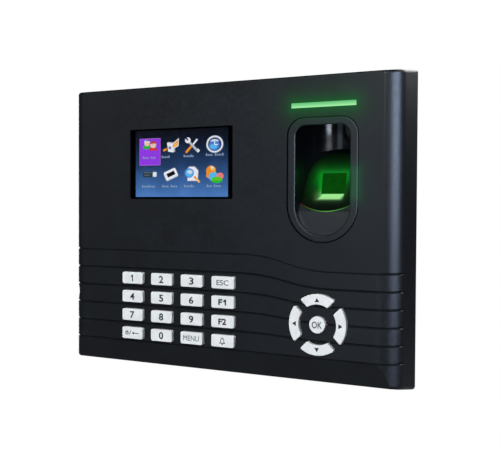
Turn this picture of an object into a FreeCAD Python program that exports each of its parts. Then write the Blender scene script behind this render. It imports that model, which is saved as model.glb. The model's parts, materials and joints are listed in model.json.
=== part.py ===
import FreeCAD, Part
import math
import os
import re
import Sketcher
from FreeCAD import Placement, Rotation, Vector

# A wall-hung fingerprint terminal. The row frame is in millimetres: +X is to the right as a
# person in front of the terminal sees it, +Z is up, the front faces -Y, and the origin is the
# centre of the wall plate's back, which lies on the wall. "Depth" below is measured from the
# front plane of the cover towards the wall, so Y = depth - total_depth.

DRIVING_SIZES = {
    # casing
    "front_width": (180, "width of the front face"),
    "front_height": (140, "height of the front face"),
    "total_depth": (34, "front plane to the wall"),
    "cover_depth": (20, "front plane to the joint between the two covers"),
    "rim_depth": (27, "front plane to the back of the rear cover's rim"),
    "back_depth": (32.5, "front plane to the back of the rear cover's raised platform"),
    "side_rise": (1.15, "how far each side leans out over the rim depth"),
    "top_rise": (3.9, "how far the top leans up over the rim depth"),
    "bottom_rise": (4.9, "how far the bottom leans down over the rim depth"),
    "side_round": (10, "rounding of the front's left and right edges"),
    "edge_round": (1.6, "rounding of every other outer edge"),
    "cover_wall": (2.5, "wall of the front cover"),
    "rear_wall": (2, "wall of the rear cover"),
    "platform_width": (150, "raised platform on the rear cover"),
    "platform_height": (110, "raised platform on the rear cover"),
    "platform_round": (6, "corner of the platform and of the wall plate"),
    "chin_height": (10, "height of the sloping strip along the bottom"),
    "chin_slope": (2.2, "how far the strip slopes back at the bottom edge"),
    "step_depth": (0.4, "how far the upper face lies behind the lower one"),
    # waves across the lower face
    "wave_count": (6, "number of grooves"),
    "wave_top": (-12.6, "height of the highest groove at the left"),
    "wave_pitch": (9.35, "distance between grooves at the left"),
    "wave_drop": (6.9, "how far the highest groove steps down to the right"),
    "wave_drop_change": (1.34, "how much less each next groove steps down"),
    "wave_start": (13, "where the grooves start to step down"),
    "wave_end": (59, "where the grooves are level again"),
    "wave_width": (1.1, "width of a groove at the surface"),
    "wave_depth": (0.6, "depth of a groove"),
    "wave_wrap": (84, "angle by which the grooves follow the rounded side edges"),
    # display
    "screen_x": (-22.15, "centre of the screen opening"),
    "screen_z": (31.3, "centre of the screen opening"),
    "screen_width": (60.1, "screen opening"),
    "screen_height": (35.4, "screen opening"),
    "screen_round": (1.0, "corner of the screen opening"),
    "picture_x": (-22.65, "centre of the lit area"),
    "picture_z": (31.5, "centre of the lit area"),
    "picture_width": (54.3, "lit area"),
    "picture_height": (33.6, "lit area"),
    "window_border": (3, "how far the window is glued to the cover all round"),
    "window_front": (1.4, "depth of the window's front"),
    "window_thickness": (0.8, "thickness of the window"),
    "mask_thickness": (0.2, "black mask between the window and the panel"),
    "panel_thickness": (2.4, "glass panel"),
    "tray_wall": (0.5, "sheet metal of the tray behind the panel"),
    # keypad
    "key_x": (-49.3, "centre of the left column"),
    "key_z": (-26.8, "centre of the top row"),
    "key_columns": (4, "keys in a row"),
    "key_rows": (4, "keys in a column"),
    "key_pitch_x": (17.65, "distance between columns"),
    "key_pitch_z": (9.43, "distance between rows"),
    "key_width": (12.5, "key cap"),
    "key_height": (6.0, "key cap"),
    "key_round": (0.9, "corner of a key cap"),
    "key_proud": (1.5, "how far a key stands out"),
    "key_edge": (0.35, "rounding of a key's front edge"),
    "key_gap": (0.35, "gap round each key"),
    "key_lip": (0.8, "width of the lip that stops a key coming out"),
    "lip_front": (2.55, "depth of that lip's front"),
    "lip_back": (3.4, "depth of the key's back"),
    # round cluster of direction keys
    "nav_x": (53.0, "centre of the cluster"),
    "nav_z": (-43.8, "centre of the cluster"),
    "nav_outer": (14.1, "outer radius of the direction keys"),
    "nav_inner": (9.3, "inner radius of the direction keys"),
    "nav_gap": (4.0, "gap between direction keys along the diagonals"),
    "nav_round": (0.7, "corners of the direction keys"),
    "ok_radius": (3.9, "radius of the middle key"),
    # rubber mats and their board
    "dome_tip": (2.1, "radius of a dome at its tip"),
    "dome_foot": (2.9, "radius of a dome at its foot"),
    "dome_height": (1.6, "height of a rubber dome"),
    "mat_thickness": (1.0, "rubber sheet"),
    "mat_margin": (7, "how far a mat reaches past the outer key centres"),
    "board_thickness": (1.6, "circuit board"),
    "button_board_x": (3, "centre of the board under the keys"),
    "button_board_z": (-43, "centre of the board under the keys"),
    "button_board_width": (138, "board under the keys"),
    "button_board_height": (44, "board under the keys"),
    # light bar
    "bar_x": (54.65, "centre of the light bar"),
    "bar_z": (56.6, "centre of the light bar"),
    "bar_width": (31.7, "light bar"),
    "bar_height": (2.3, "light bar"),
    "bar_lip": (0.9, "lip behind the cover"),
    "bar_lip_thickness": (1.5, "lip behind the cover"),
    "bar_proud": (0.15, "how far the light bar stands out"),
    "light_post_x": (19, "posts for the light board from its middle"),
    "light_board_depth": (5.4, "depth of the light board's front"),
    "light_board_width": (42, "light board"),
    "light_board_height": (6.5, "light board"),
    # finger guide
    "guide_x": (54.15, "centre of the finger guide"),
    "guide_z": (22.3, "centre of the finger guide"),
    "guide_width": (35.3, "opening in the cover"),
    "guide_height": (57.9, "opening in the cover"),
    "guide_round": (8.5, "upper corners of the opening"),
    "guide_gap": (0.45, "groove round the finger guide"),
    "recess_width": (27, "finger recess"),
    "recess_height": (50.6, "finger recess"),
    "recess_z": (22.1, "centre of the finger recess"),
    "recess_round": (5, "upper corners of the finger recess"),
    "recess_depth": (25.5, "depth of the finger recess at its back"),
    "ring_edge": (0.5, "rounding of the ring's edges"),
    "guide_wall": (1.8, "wall of the finger guide"),
    "guide_flange": (2, "how far the flange reaches past the opening"),
    "flange_thickness": (1.5, "flange of the finger guide"),
    "ramp_bottom_depth": (3.0, "depth of the ramp's lower end"),
    "ramp_top_depth": (4.4, "depth of the ramp's upper end"),
    "ramp_top_z": (7.8, "height of the ramp's upper end"),
    # sensor
    "sensor_tilt": (31, "how far the sensor leans back"),
    "bezel_length": (33, "sensor bezel along its slope"),
    "bezel_width": (26.6, "sensor bezel"),
    "bezel_thickness": (2.0, "sensor bezel"),
    "bezel_edge": (0.4, "rounding of the bezel's edge"),
    "bezel_lower_round": (22, "curve of the bezel's lower edge"),
    "funnel_width": (14.9, "mouth of the square funnel round the prism"),
    "funnel_height": (17.4, "mouth of the square funnel round the prism"),
    "funnel_shift": (2.1, "middle of the mouth below the middle of the bezel"),
    "prism_width": (12.2, "face of the prism"),
    "prism_height": (10.0, "face of the prism"),
    "prism_depth": (15.6, "depth of the middle of the prism's face"),
    "prism_z": (21.1, "height of the middle of the prism's face"),
    "prism_tilt": (10, "how far the prism's face leans back"),
    "prism_thickness": (3.0, "prism"),
    "prism_flange": (0.6, "how far the prism reaches past its face all round"),
    "collar_width": (18.5, "collar of the bezel round the funnel"),
    "collar_height": (19, "collar of the bezel round the funnel"),
    "collar_back": (8.0, "back of the collar behind the bezel's face"),
    "collar_shift": (1.8, "middle of the collar below the middle of the bezel"),
    "floor_thickness": (4.0, "sloping floor of the finger guide"),
    "housing_width": (21, "sensor housing"),
    "housing_height": (21.4, "sensor housing"),
    "housing_front": (4.2, "front of the housing behind the bezel's face"),
    "housing_back": (10.4, "back of the housing behind the bezel's face"),
    "housing_room": (16, "chamber for the lens and lamps"),
    "lens_radius": (2.6, "lens barrel"),
    "sensor_board_thickness": (1.0, "board behind the sensor"),
    # boards and what is on them
    "main_board_x": (-23, "centre of the main board"),
    "main_board_z": (0, "centre of the main board"),
    "main_board_width": (106, "main board"),
    "main_board_height": (104, "main board"),
    "main_board_depth": (13, "depth of the main board's front"),
    "main_screw_x": (48, "main board's screws from its middle"),
    "main_screw_top": (47, "height of the upper screws"),
    "main_screw_low": (-17, "height of the lower screws"),
    "button_screw_left": (-62, "button board's left screws"),
    "button_screw_right": (25, "button board's right screws"),
    "button_screw_top": (-26, "button board's upper screws"),
    "button_screw_low": (-60, "button board's lower screws"),
    "standoff_radius": (2.8, "posts that carry the boards"),
    "pilot_radius": (1.0, "hole in such a post"),
    # fastening
    "boss_x": (80, "cover screws"),
    "boss_z": (61, "cover screws"),
    "boss_radius": (3.6, "post that takes a cover screw"),
    "screw_radius": (1.25, "cover screw"),
    "screw_clearance": (1.6, "hole in the rear cover"),
    "head_radius": (2.75, "head of a cover screw"),
    "head_height": (1.8, "head of a cover screw"),
    "counterbore_radius": (3.1, "recess for the head"),
    "plate_thickness": (1.5, "wall plate"),
    "plate_screw_x": (130, "wall plate's screw holes, left to right"),
    "plate_screw_z": (90, "wall plate's screw holes, up and down"),
    "plate_hole_radius": (2.25, "wall plate's screw holes"),
    "cable_opening_x": (-22, "centre of the cable opening"),
    "cable_opening_z": (-18, "centre of the cable opening"),
    "cable_opening_width": (100, "cable opening in the wall plate"),
    "cable_opening_height": (40, "cable opening in the wall plate"),
    "hook_x": (28, "hooks of the wall plate from its middle"),
    "hook_z": (40, "height of the hooks"),
    "hook_width": (12, "hook"),
    "hook_reach": (4.5, "how far a hook reaches into the rear cover"),
    "hook_lip": (3, "turned-up end of a hook"),
    "socket_gap": (0.5, "gap round each socket in the rear cover"),
    "tamper_x": (-2, "tamper switch"),
    "tamper_z": (22, "tamper switch"),
    "plunger_radius": (1.5, "plunger of the tamper switch"),
    "speaker_x": (58, "speaker"),
    "speaker_z": (-32, "speaker"),
    "speaker_radius": (14, "speaker"),
    "grille_length": (15, "slots in front of the speaker"),
    "grille_slot": (1.5, "slots in front of the speaker"),
    "grille_pitch": (3.2, "slots in front of the speaker"),
    "speaker_deep": (5, "speaker"),
    "cell_radius": (10, "backup cell"),
    "cell_thickness": (3.2, "backup cell"),
    "cell_x": (-55, "backup cell"),
    "cell_z": (30, "backup cell"),
    "lock_depth": (29.8, "depth of the lock screw's axis"),
    "lock_radius": (1.25, "lock screw"),
    "lock_width": (14, "lock tab at the bottom of the wall plate"),
    "lock_reach": (5.2, "how far the lock tab reaches forward"),
}

doc = FreeCAD.newDocument("FingerprintTerminal")
sheet = doc.addObject("Spreadsheet::Sheet", "Size")
for row, (alias, (amount, meaning)) in enumerate(DRIVING_SIZES.items(), start=1):
    sheet.set(f"A{row}", meaning)
    sheet.set(f"B{row}", str(amount))
    sheet.setAlias(f"B{row}", alias)
doc.recompute()


# ---- binding shapes to the sheet ------------------------------------------------------------

def in_sheet(formula):
    """The formula with each driving size named as a cell of the sheet."""
    def cell(match):
        word = match.group(0)
        return "Size." + word if word in DRIVING_SIZES else word
    return re.sub(r"[a-z][a-z_]*", cell, str(formula))


def number(formula):
    """What a formula of driving sizes comes to now."""
    return float(sheet.evalExpression(in_sheet(formula)))


def bind(item, path, formula):
    item.setExpression(path, in_sheet(formula))


def new_body(label, x="0", depth="0", z="0", rotation=None):
    """A body whose own origin lies at x, that depth behind the front plane, and z."""
    body = doc.addObject("PartDesign::Body", label)
    body.Label = label
    if rotation is not None:
        body.Placement = Placement(Vector(), rotation)
    bind(body, "Placement.Base.x", x)
    bind(body, "Placement.Base.y", f"({depth}) - total_depth")
    bind(body, "Placement.Base.z", z)
    return body


PLANE_OF_VIEW = {"front": "XZ_Plane", "side": "YZ_Plane", "plan": "XY_Plane"}


def new_sketch(body, view="front", x="0", y="0", offset="0"):
    """A sketch on an origin plane of its body, moved by x, y in the plane and by offset along
    +Y (front view), +X (side view) or +Z (plan view)."""
    sketch = body.newObject("Sketcher::SketchObject", body.Label + "_sketch")
    features = body.Origin.OriginFeatures
    plane = next(item for item in features if item.Role == PLANE_OF_VIEW[view])
    sketch.AttachmentSupport = [(plane, "")]
    sketch.MapMode = "FlatFace"
    bind(sketch, "AttachmentOffset.Base.x", x)
    bind(sketch, "AttachmentOffset.Base.y", y)
    sign = "-" if view == "front" else ""
    bind(sketch, "AttachmentOffset.Base.z", f"{sign}({offset})")
    return sketch


def hold(sketch, kind, *terms, amount=None):
    """Adds one constraint, bound to a formula when there is one."""
    if amount is None:
        sketch.addConstraint(Sketcher.Constraint(kind, *terms))
        return
    index = sketch.addConstraint(Sketcher.Constraint(kind, *terms, number(amount)))
    bind(sketch, f"Constraints[{index}]", amount)


def hold_point(sketch, geometry, end, x, y):
    hold(sketch, "DistanceX", -1, 1, geometry, end, amount=x)
    hold(sketch, "DistanceY", -1, 1, geometry, end, amount=y)


def draw_polygon(sketch, corners):
    """A closed outline of straight lines through corners given as (x, y) formulas."""
    points = [Vector(number(x), number(y), 0) for x, y in corners]
    first = len(sketch.Geometry)
    count = len(points)
    for index in range(count):
        following = points[(index + 1) % count]
        sketch.addGeometry(Part.LineSegment(points[index], following))
    for index, (x, y) in enumerate(corners):
        hold(sketch, "Coincident", first + index, 2, first + (index + 1) % count, 1)
        hold_point(sketch, first + index, 1, x, y)


def draw_rectangle(sketch, width, height, x="0", y="0"):
    left, right = f"({x}) - ({width}) / 2", f"({x}) + ({width}) / 2"
    low, high = f"({y}) - ({height}) / 2", f"({y}) + ({height}) / 2"
    draw_polygon(sketch, [(left, low), (right, low), (right, high), (left, high)])


def draw_circle(sketch, radius, x="0", y="0"):
    centre = Vector(number(x), number(y), 0)
    index = sketch.addGeometry(Part.Circle(centre, Vector(0, 0, 1), number(radius)))
    hold(sketch, "Radius", index, amount=radius)
    hold_point(sketch, index, 3, x, y)


def arc(centre, radius, start, end):
    """An arc of a circle from one angle to another, in degrees, anticlockwise."""
    circle = Part.Circle(centre, Vector(0, 0, 1), radius)
    return Part.ArcOfCircle(circle, math.radians(start), math.radians(end))


def draw_rounded(sketch, width, height, radius):
    """A rectangle with round corners about the sketch's origin."""
    a, b, r = number(width) / 2, number(height) / 2, number(radius)
    first = len(sketch.Geometry)
    shapes = [
        Part.LineSegment(Vector(a, r - b, 0), Vector(a, b - r, 0)),
        arc(Vector(a - r, b - r, 0), r, 0, 90),
        Part.LineSegment(Vector(a - r, b, 0), Vector(r - a, b, 0)),
        arc(Vector(r - a, b - r, 0), r, 90, 180),
        Part.LineSegment(Vector(-a, b - r, 0), Vector(-a, r - b, 0)),
        arc(Vector(r - a, r - b, 0), r, 180, 270),
        Part.LineSegment(Vector(r - a, -b, 0), Vector(a - r, -b, 0)),
        arc(Vector(a - r, r - b, 0), r, 270, 360),
    ]
    sketch.addGeometry(shapes, False)
    for index in range(8):
        hold(sketch, "Tangent", first + index, 2, first + (index + 1) % 8, 1)
    for vertical in (0, 4):
        hold(sketch, "Vertical", first + vertical)
    for level in (2, 6):
        hold(sketch, "Horizontal", first + level)
    for corner in (3, 5, 7):
        hold(sketch, "Equal", first + 1, first + corner)
    hold(sketch, "Radius", first + 1, amount=radius)
    hold(sketch, "DistanceX", -1, 1, first, 1, amount=f"({width}) / 2")
    hold(sketch, "DistanceX", first + 4, 1, -1, 1, amount=f"({width}) / 2")
    hold(sketch, "DistanceY", -1, 1, first + 2, 1, amount=f"({height}) / 2")
    hold(sketch, "DistanceY", first + 6, 1, -1, 1, amount=f"({height}) / 2")


def draw_arch(sketch, width, height, radius):
    """An upright outline about the sketch's origin: round upper corners, half-round below."""
    a, b, r = number(width) / 2, number(height) / 2, number(radius)
    first = len(sketch.Geometry)
    shapes = [
        Part.LineSegment(Vector(a, a - b, 0), Vector(a, b - r, 0)),
        arc(Vector(a - r, b - r, 0), r, 0, 90),
        Part.LineSegment(Vector(a - r, b, 0), Vector(r - a, b, 0)),
        arc(Vector(r - a, b - r, 0), r, 90, 180),
        Part.LineSegment(Vector(-a, b - r, 0), Vector(-a, a - b, 0)),
        arc(Vector(0, a - b, 0), a, 180, 360),
    ]
    sketch.addGeometry(shapes, False)
    for index in range(6):
        hold(sketch, "Tangent", first + index, 2, first + (index + 1) % 6, 1)
    for vertical in (0, 4):
        hold(sketch, "Vertical", first + vertical)
    hold(sketch, "Horizontal", first + 2)
    hold(sketch, "Equal", first + 1, first + 3)
    hold(sketch, "Radius", first + 1, amount=radius)
    hold(sketch, "DistanceX", -1, 1, first, 1, amount=f"({width}) / 2")
    hold(sketch, "DistanceX", first + 4, 1, -1, 1, amount=f"({width}) / 2")
    hold(sketch, "DistanceY", -1, 1, first + 2, 1, amount=f"({height}) / 2")
    low = f"({height}) / 2 - ({width}) / 2"
    hold(sketch, "DistanceY", first + 5, 3, -1, 1, amount=low)


def draw_sector(sketch, outer, inner, half_gap):
    """A quarter of a ring about +X, cut parallel to the diagonals at half_gap from them."""
    big, small, gap = number(outer), number(inner), number(half_gap)
    big_angle = 45 - math.degrees(math.asin(gap / big))
    small_angle = 45 - math.degrees(math.asin(gap / small))
    outer_arc = arc(Vector(), big, -big_angle, big_angle)
    inner_arc = arc(Vector(), small, -small_angle, small_angle)
    first = len(sketch.Geometry)
    upper = Part.LineSegment(inner_arc.EndPoint, outer_arc.EndPoint)
    lower = Part.LineSegment(inner_arc.StartPoint, outer_arc.StartPoint)
    sketch.addGeometry([outer_arc, inner_arc, upper, lower], False)
    hold(sketch, "Coincident", first, 2, first + 2, 2)
    hold(sketch, "Coincident", first + 1, 2, first + 2, 1)
    hold(sketch, "Coincident", first, 1, first + 3, 2)
    hold(sketch, "Coincident", first + 1, 1, first + 3, 1)
    for curve, radius in ((first, outer), (first + 1, inner)):
        hold(sketch, "Coincident", curve, 3, -1, 1)
        hold(sketch, "Radius", curve, amount=radius)
    for side in (first + 2, first + 3):
        hold(sketch, "Distance", -1, 1, side, amount=half_gap)
    sketch.addConstraint(Sketcher.Constraint("Angle", first + 2, math.radians(45)))
    sketch.addConstraint(Sketcher.Constraint("Angle", first + 3, math.radians(-45)))


# ---- features --------------------------------------------------------------------------------

def pad(body, sketch, length, symmetric=False, towards_front=False):
    """Front-view pads grow towards the wall, the others along their plane's normal."""
    feature = body.newObject("PartDesign::Pad", body.Label + "_pad")
    feature.Profile = sketch
    bind(feature, "Length", length)
    if symmetric:
        feature.SideType = "Symmetric"
    elif PLANE_OF_VIEW["front"] in sketch.AttachmentSupport[0][0].Role:
        feature.Reversed = not towards_front
    doc.recompute()
    return feature


def pocket(body, sketch, length=None, symmetric=False, reverse=False):
    """Cuts away from the sketch, towards the wall in a front view, and makes sure it cut."""
    before = body.Shape.Volume
    feature = body.newObject("PartDesign::Pocket", body.Label + "_pocket")
    feature.Profile = sketch
    if length is None:
        feature.Type = "ThroughAll"
    else:
        bind(feature, "Length", length)
    if symmetric:
        feature.SideType = "Symmetric"
    feature.Reversed = reverse
    doc.recompute()
    if body.Shape.Volume > before - 1e-3:
        raise RuntimeError(f"{feature.Name} cut nothing")
    return feature


def edges_where(feature, wanted):
    """Names of the feature's edges for which wanted(edge) holds."""
    edges = feature.Shape.Edges
    return [f"Edge{index}" for index, edge in enumerate(edges, start=1) if wanted(edge)]


def fillet(body, feature, radius, wanted, kind="Fillet"):
    names = edges_where(feature, wanted)
    if not names:
        raise RuntimeError(f"{body.Label}: no edge to round")
    made = body.newObject("PartDesign::" + kind, body.Label + "_" + kind.lower())
    made.Base = (feature, names)
    bind(made, "Radius" if kind == "Fillet" else "Size", radius)
    doc.recompute()
    return made


def straight_along(edge, axis):
    """Whether an edge is a straight line along a unit axis."""
    if not isinstance(edge.Curve, Part.Line):
        return False
    return abs(abs(edge.Curve.Direction.dot(axis)) - 1) < 1e-6


def lies_at(edge, coordinate, amount, slack=0.01):
    """Whether the whole edge has one coordinate near an amount, such as lies_at(edge, "Y", 0)."""
    box = edge.BoundBox
    low, high = getattr(box, coordinate + "Min"), getattr(box, coordinate + "Max")
    return abs(low - amount) < slack and abs(high - amount) < slack


def plain_block(label, width, height, thickness, x, depth, z, radius=None):
    """A rectangular piece with its front face at that depth."""
    body = new_body(label, x, depth, z)
    sketch = new_sketch(body)
    if radius is None:
        draw_rectangle(sketch, width, height)
    else:
        draw_rounded(sketch, width, height, radius)
    pad(body, sketch, thickness)
    return body


def part_box(label, width, deep, height, x, depth, z):
    """A Part::Box given by the centre of its front face."""
    box = doc.addObject("Part::Box", label)
    bind(box, "Length", width)
    bind(box, "Width", deep)
    bind(box, "Height", height)
    bind(box, "Placement.Base.x", f"({x}) - ({width}) / 2")
    bind(box, "Placement.Base.y", f"({depth}) - total_depth")
    bind(box, "Placement.Base.z", f"({z}) - ({height}) / 2")
    return box


def part_rod(label, radius, deep, x, depth, z):
    """A Part::Cylinder along Y that starts at that depth and runs towards the wall."""
    rod = doc.addObject("Part::Cylinder", label)
    rod.Placement = Placement(Vector(), Rotation(Vector(1, 0, 0), -90))
    bind(rod, "Radius", radius)
    bind(rod, "Height", deep)
    bind(rod, "Placement.Base.x", x)
    bind(rod, "Placement.Base.y", f"({depth}) - total_depth")
    bind(rod, "Placement.Base.z", z)
    return rod


def joined(label, *shapes):
    """One node of several pieces: fused where they meet, separate solids where they don't."""
    fusion = doc.addObject("Part::MultiFuse", label)
    fusion.Label = label
    fusion.Shapes = list(shapes)
    fusion.Refine = True
    return fusion


def cut_away(label, base, *tools):
    """The base piece less the tools."""
    tool = tools[0] if len(tools) == 1 else joined(label + "_tools", *tools)
    result = doc.addObject("Part::Cut", label)
    result.Label = label
    result.Base = base
    result.Tool = tool
    return result


# ---- casing ----------------------------------------------------------------------------------

INSIDE_WALL = "cover_wall - 0.5"
BUTTON_BOARD_DEPTH = "lip_back + dome_height + mat_thickness"
UP = Vector(0, 0, 1)


def lid_height(depth, side):
    """Height of the casing's outer top (side 1) or bottom (side -1) at a depth."""
    rise = number("top_rise") if side > 0 else number("bottom_rise")
    return side * (number("front_height") / 2 + rise * depth / number("rim_depth"))


def on_casing_lid(edge, left_out):
    """Whether an edge lies on the casing's outer top or bottom, and not at a left-out depth."""
    if lies_at(edge, "Y", left_out):
        return False
    for side in (-1, 1):
        misses = [abs(vertex.Z - lid_height(vertex.Y, side)) for vertex in edge.Vertexes]
        if max(misses) < 0.01:
            return True
    return False


def wave_path(sketch, top, drop, reach):
    """A level line, two tangent arcs stepping down by drop, and a level line, from -reach to
    reach. Returns the first and last geometry."""
    start, end = number("wave_start"), number("wave_end")
    high, fall, far = number(top), number(drop), number(reach)
    half = (end - start) / 2
    radius = (half * half + fall * fall / 4) / fall
    turn = math.degrees(math.asin(half / radius))
    first = len(sketch.Geometry)
    shapes = [
        Part.LineSegment(Vector(-far, high, 0), Vector(start, high, 0)),
        arc(Vector(start, high - radius, 0), radius, 90 - turn, 90),
        arc(Vector(end, high - fall + radius, 0), radius, 270 - turn, 270),
        Part.LineSegment(Vector(end, high - fall, 0), Vector(far, high - fall, 0)),
    ]
    sketch.addGeometry(shapes, False)
    hold(sketch, "Tangent", first, 2, first + 1, 2)
    hold(sketch, "Tangent", first + 1, 1, first + 2, 1)
    hold(sketch, "Tangent", first + 2, 2, first + 3, 1)
    hold(sketch, "Equal", first + 1, first + 2)
    hold_point(sketch, first, 1, f"-({reach})", top)
    hold_point(sketch, first, 2, "wave_start", top)
    hold_point(sketch, first + 3, 1, "wave_end", f"({top}) - ({drop})")
    hold_point(sketch, first + 3, 2, reach, f"({top}) - ({drop})")
    return first, first + 3


def wave_height(index):
    return f"wave_top - {index} * wave_pitch"


def wave_fall(index):
    return f"wave_drop - {index} * wave_drop_change"


def make_casing_solid(body, front_depth, back_depth):
    """The drafted block of casing between two depths: its side view, cut to its plan view."""
    side = new_sketch(body, "side")
    corners = []
    for sign, rise in (("-", "bottom_rise"), ("", "top_rise")):
        front = f"{sign}(front_height / 2 + {rise} * {front_depth} / rim_depth)"
        back = f"{sign}(front_height / 2 + {rise} * {back_depth} / rim_depth)"
        corners.append([(front_depth, front), (back_depth, back)])
    draw_polygon(side, corners[0] + corners[1][::-1])
    pad(body, side, "2 * front_width", symmetric=True)
    plan = new_sketch(body, "plan")
    for sign in ("-", ""):
        front = f"{sign}(front_width / 2 + side_rise * {front_depth} / rim_depth)"
        back = f"{sign}(front_width / 2 + side_rise * {back_depth} / rim_depth)"
        far = f"{sign}(front_width * 1.1)"
        draw_polygon(plan, [(front, front_depth), (far, front_depth), (far, back_depth),
                            (back, back_depth)])
    return pocket(body, plan, "3 * front_height", symmetric=True)


def hollow(body, feature, open_depth, wall):
    """Leaves a wall inside the block and opens the face at open_depth."""
    faces = feature.Shape.Faces
    rear = [f"Face{index}" for index, face in enumerate(faces, start=1)
            if lies_at(face, "Y", number(open_depth))]
    shell = body.newObject("PartDesign::Thickness", body.Label + "_shell")
    shell.Base = (feature, rear)
    bind(shell, "Value", wall)
    shell.Reversed = True
    shell.Join = "Intersection"
    doc.recompute()
    return shell


def cut_chin(body):
    """The strip along the bottom that slopes back."""
    low = "-front_height / 2"
    sketch = new_sketch(body, "side")
    corners = [
        ("0", f"{low} + chin_height"),
        ("2 * chin_slope", f"{low} - chin_height"),
        ("-1", f"{low} - chin_height"),
        ("-1", f"{low} + chin_height"),
    ]
    draw_polygon(sketch, corners)
    return pocket(body, sketch, "2 * front_width", symmetric=True)


def cut_step(body):
    """Sets the upper face back behind the highest groove."""
    sketch = new_sketch(body)
    reach = "front_width / 2 + 5"
    first, last = wave_path(sketch, wave_height(0), wave_fall(0), reach)
    left, right, top = -number(reach), number(reach), number("front_height")
    line_start = Vector(right, number(wave_height(0)) - number(wave_fall(0)), 0)
    corners = [line_start, Vector(right, top, 0), Vector(left, top, 0)]
    corners.append(Vector(left, number(wave_height(0)), 0))
    for start, end in zip(corners, corners[1:]):
        sketch.addGeometry(Part.LineSegment(start, end))
    for index in range(3):
        hold(sketch, "Coincident", last + index, 2, last + index + 1, 1)
    hold(sketch, "Coincident", last + 3, 2, first, 1)
    hold_point(sketch, last + 1, 2, reach, "front_height")
    hold_point(sketch, last + 2, 2, f"-({reach})", "front_height")
    return pocket(body, sketch, "step_depth")


def groove_section(sketch, height):
    """A V-shaped section that opens towards the front, in a side view whose own origin is at
    the front plane."""
    spill = "0.5 * wave_depth"
    wide = "0.75 * wave_width"
    corners = [
        ("wave_depth", height),
        (f"-{spill}", f"{height} - {wide}"),
        (f"-{spill}", f"{height} + {wide}"),
    ]
    draw_polygon(sketch, corners)


# Where the rounding of a side edge starts, from the middle of the face; the sides lean out.
FLAT_REACH = "front_width / 2 - side_round * tan(45 deg - atan(side_rise / rim_depth) / 2)"


def cut_wave(body, index):
    """One groove across the flat part of the face."""
    reach = FLAT_REACH
    path = new_sketch(body)
    wave_path(path, wave_height(index), wave_fall(index), reach)
    section = new_sketch(body, "side", offset=f"-({reach})")
    groove_section(section, wave_height(index))
    groove = body.newObject("PartDesign::SubtractivePipe", f"wave_{index + 1}")
    groove.Profile = section
    groove.Spine = path
    groove.Mode = "Binormal"
    groove.Binormal = Vector(0, 1, 0)
    doc.recompute()
    return groove


def cut_wave_ends(body, side):
    """All the grooves on round one side edge: V sections turned about the rounding's axis."""
    before = body.Shape.Volume
    section = new_sketch(body, "side", x="side_round", offset=f"{side} * ({FLAT_REACH})")
    for index in range(int(number("wave_count"))):
        height = wave_height(index)
        if side > 0:
            height = f"{height} - ({wave_fall(index)})"
        wide = "0.75 * wave_width"
        outer = "-side_round - 0.5 * wave_depth"
        corners = [
            ("wave_depth - side_round", height),
            (outer, f"{height} - {wide}"),
            (outer, f"{height} + {wide}"),
        ]
        draw_polygon(section, corners)
    groove = body.newObject("PartDesign::Groove", f"{body.Label}_ends")
    groove.Profile = section
    groove.ReferenceAxis = (section, ["V_Axis"])
    bind(groove, "Angle", "wave_wrap")
    groove.Reversed = side < 0
    doc.recompute()
    if body.Shape.Volume > before - 1:
        raise RuntimeError("the grooves' ends cut nothing")
    return groove


def cut_key_holes(body):
    """One hole for each key: a pocket and its pattern for each row."""
    for row in range(int(number("key_rows"))):
        hole = new_sketch(body, x="key_x", y=f"key_z - {row} * key_pitch_z", offset="-1")
        draw_rounded(hole, "key_width + 2 * key_gap", "key_height + 2 * key_gap",
                     "key_round + key_gap")
        first = pocket(body, hole, "cover_wall + 2")
        others = body.newObject("PartDesign::LinearPattern", f"key_holes_{row + 1}")
        others.Originals = [first]
        others.Direction = (hole, ["H_Axis"])
        others.Mode = "Spacing"
        bind(others, "Offset", "key_pitch_x")
        bind(others, "Occurrences", "key_columns")
        body.Tip = others
        doc.recompute()


def cut_nav_holes(body):
    middle = new_sketch(body, x="nav_x", y="nav_z", offset="-1")
    draw_circle(middle, "ok_radius + key_gap")
    pocket(body, middle, "cover_wall + 2")
    quarter = new_sketch(body, x="nav_x", y="nav_z", offset="-1")
    draw_sector(quarter, "nav_outer + key_gap", "nav_inner - key_gap", "nav_gap / 2 - key_gap")
    first = pocket(body, quarter, "cover_wall + 2")
    ring = body.newObject("PartDesign::PolarPattern", "nav_holes")
    ring.Originals = [first]
    ring.Axis = (quarter, ["N_Axis"])
    ring.Angle = 360
    ring.Occurrences = 4
    body.Tip = ring
    doc.recompute()
    return ring


def post_circles(sketch, radius, places):
    for x, z in places:
        draw_circle(sketch, radius, x, z)


def mirrored_places(x, z):
    return [(f"{i} * ({x})", f"{j} * ({z})") for i in (-1, 1) for j in (-1, 1)]


BOSS_PLACES = mirrored_places("boss_x", "boss_z")
BUTTON_SCREW_PLACES = [
    (x, z)
    for x in ("button_screw_left", "button_screw_right")
    for z in ("button_screw_top", "button_screw_low")
]
MAIN_SCREW_PLACES = [
    (f"main_board_x + {side} * main_screw_x", z)
    for side in (-1, 1)
    for z in ("main_screw_top", "main_screw_low")
]


LIGHT_POST_PLACES = [(f"bar_x + {side} * light_post_x", "bar_z") for side in (-1, 1)]


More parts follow.
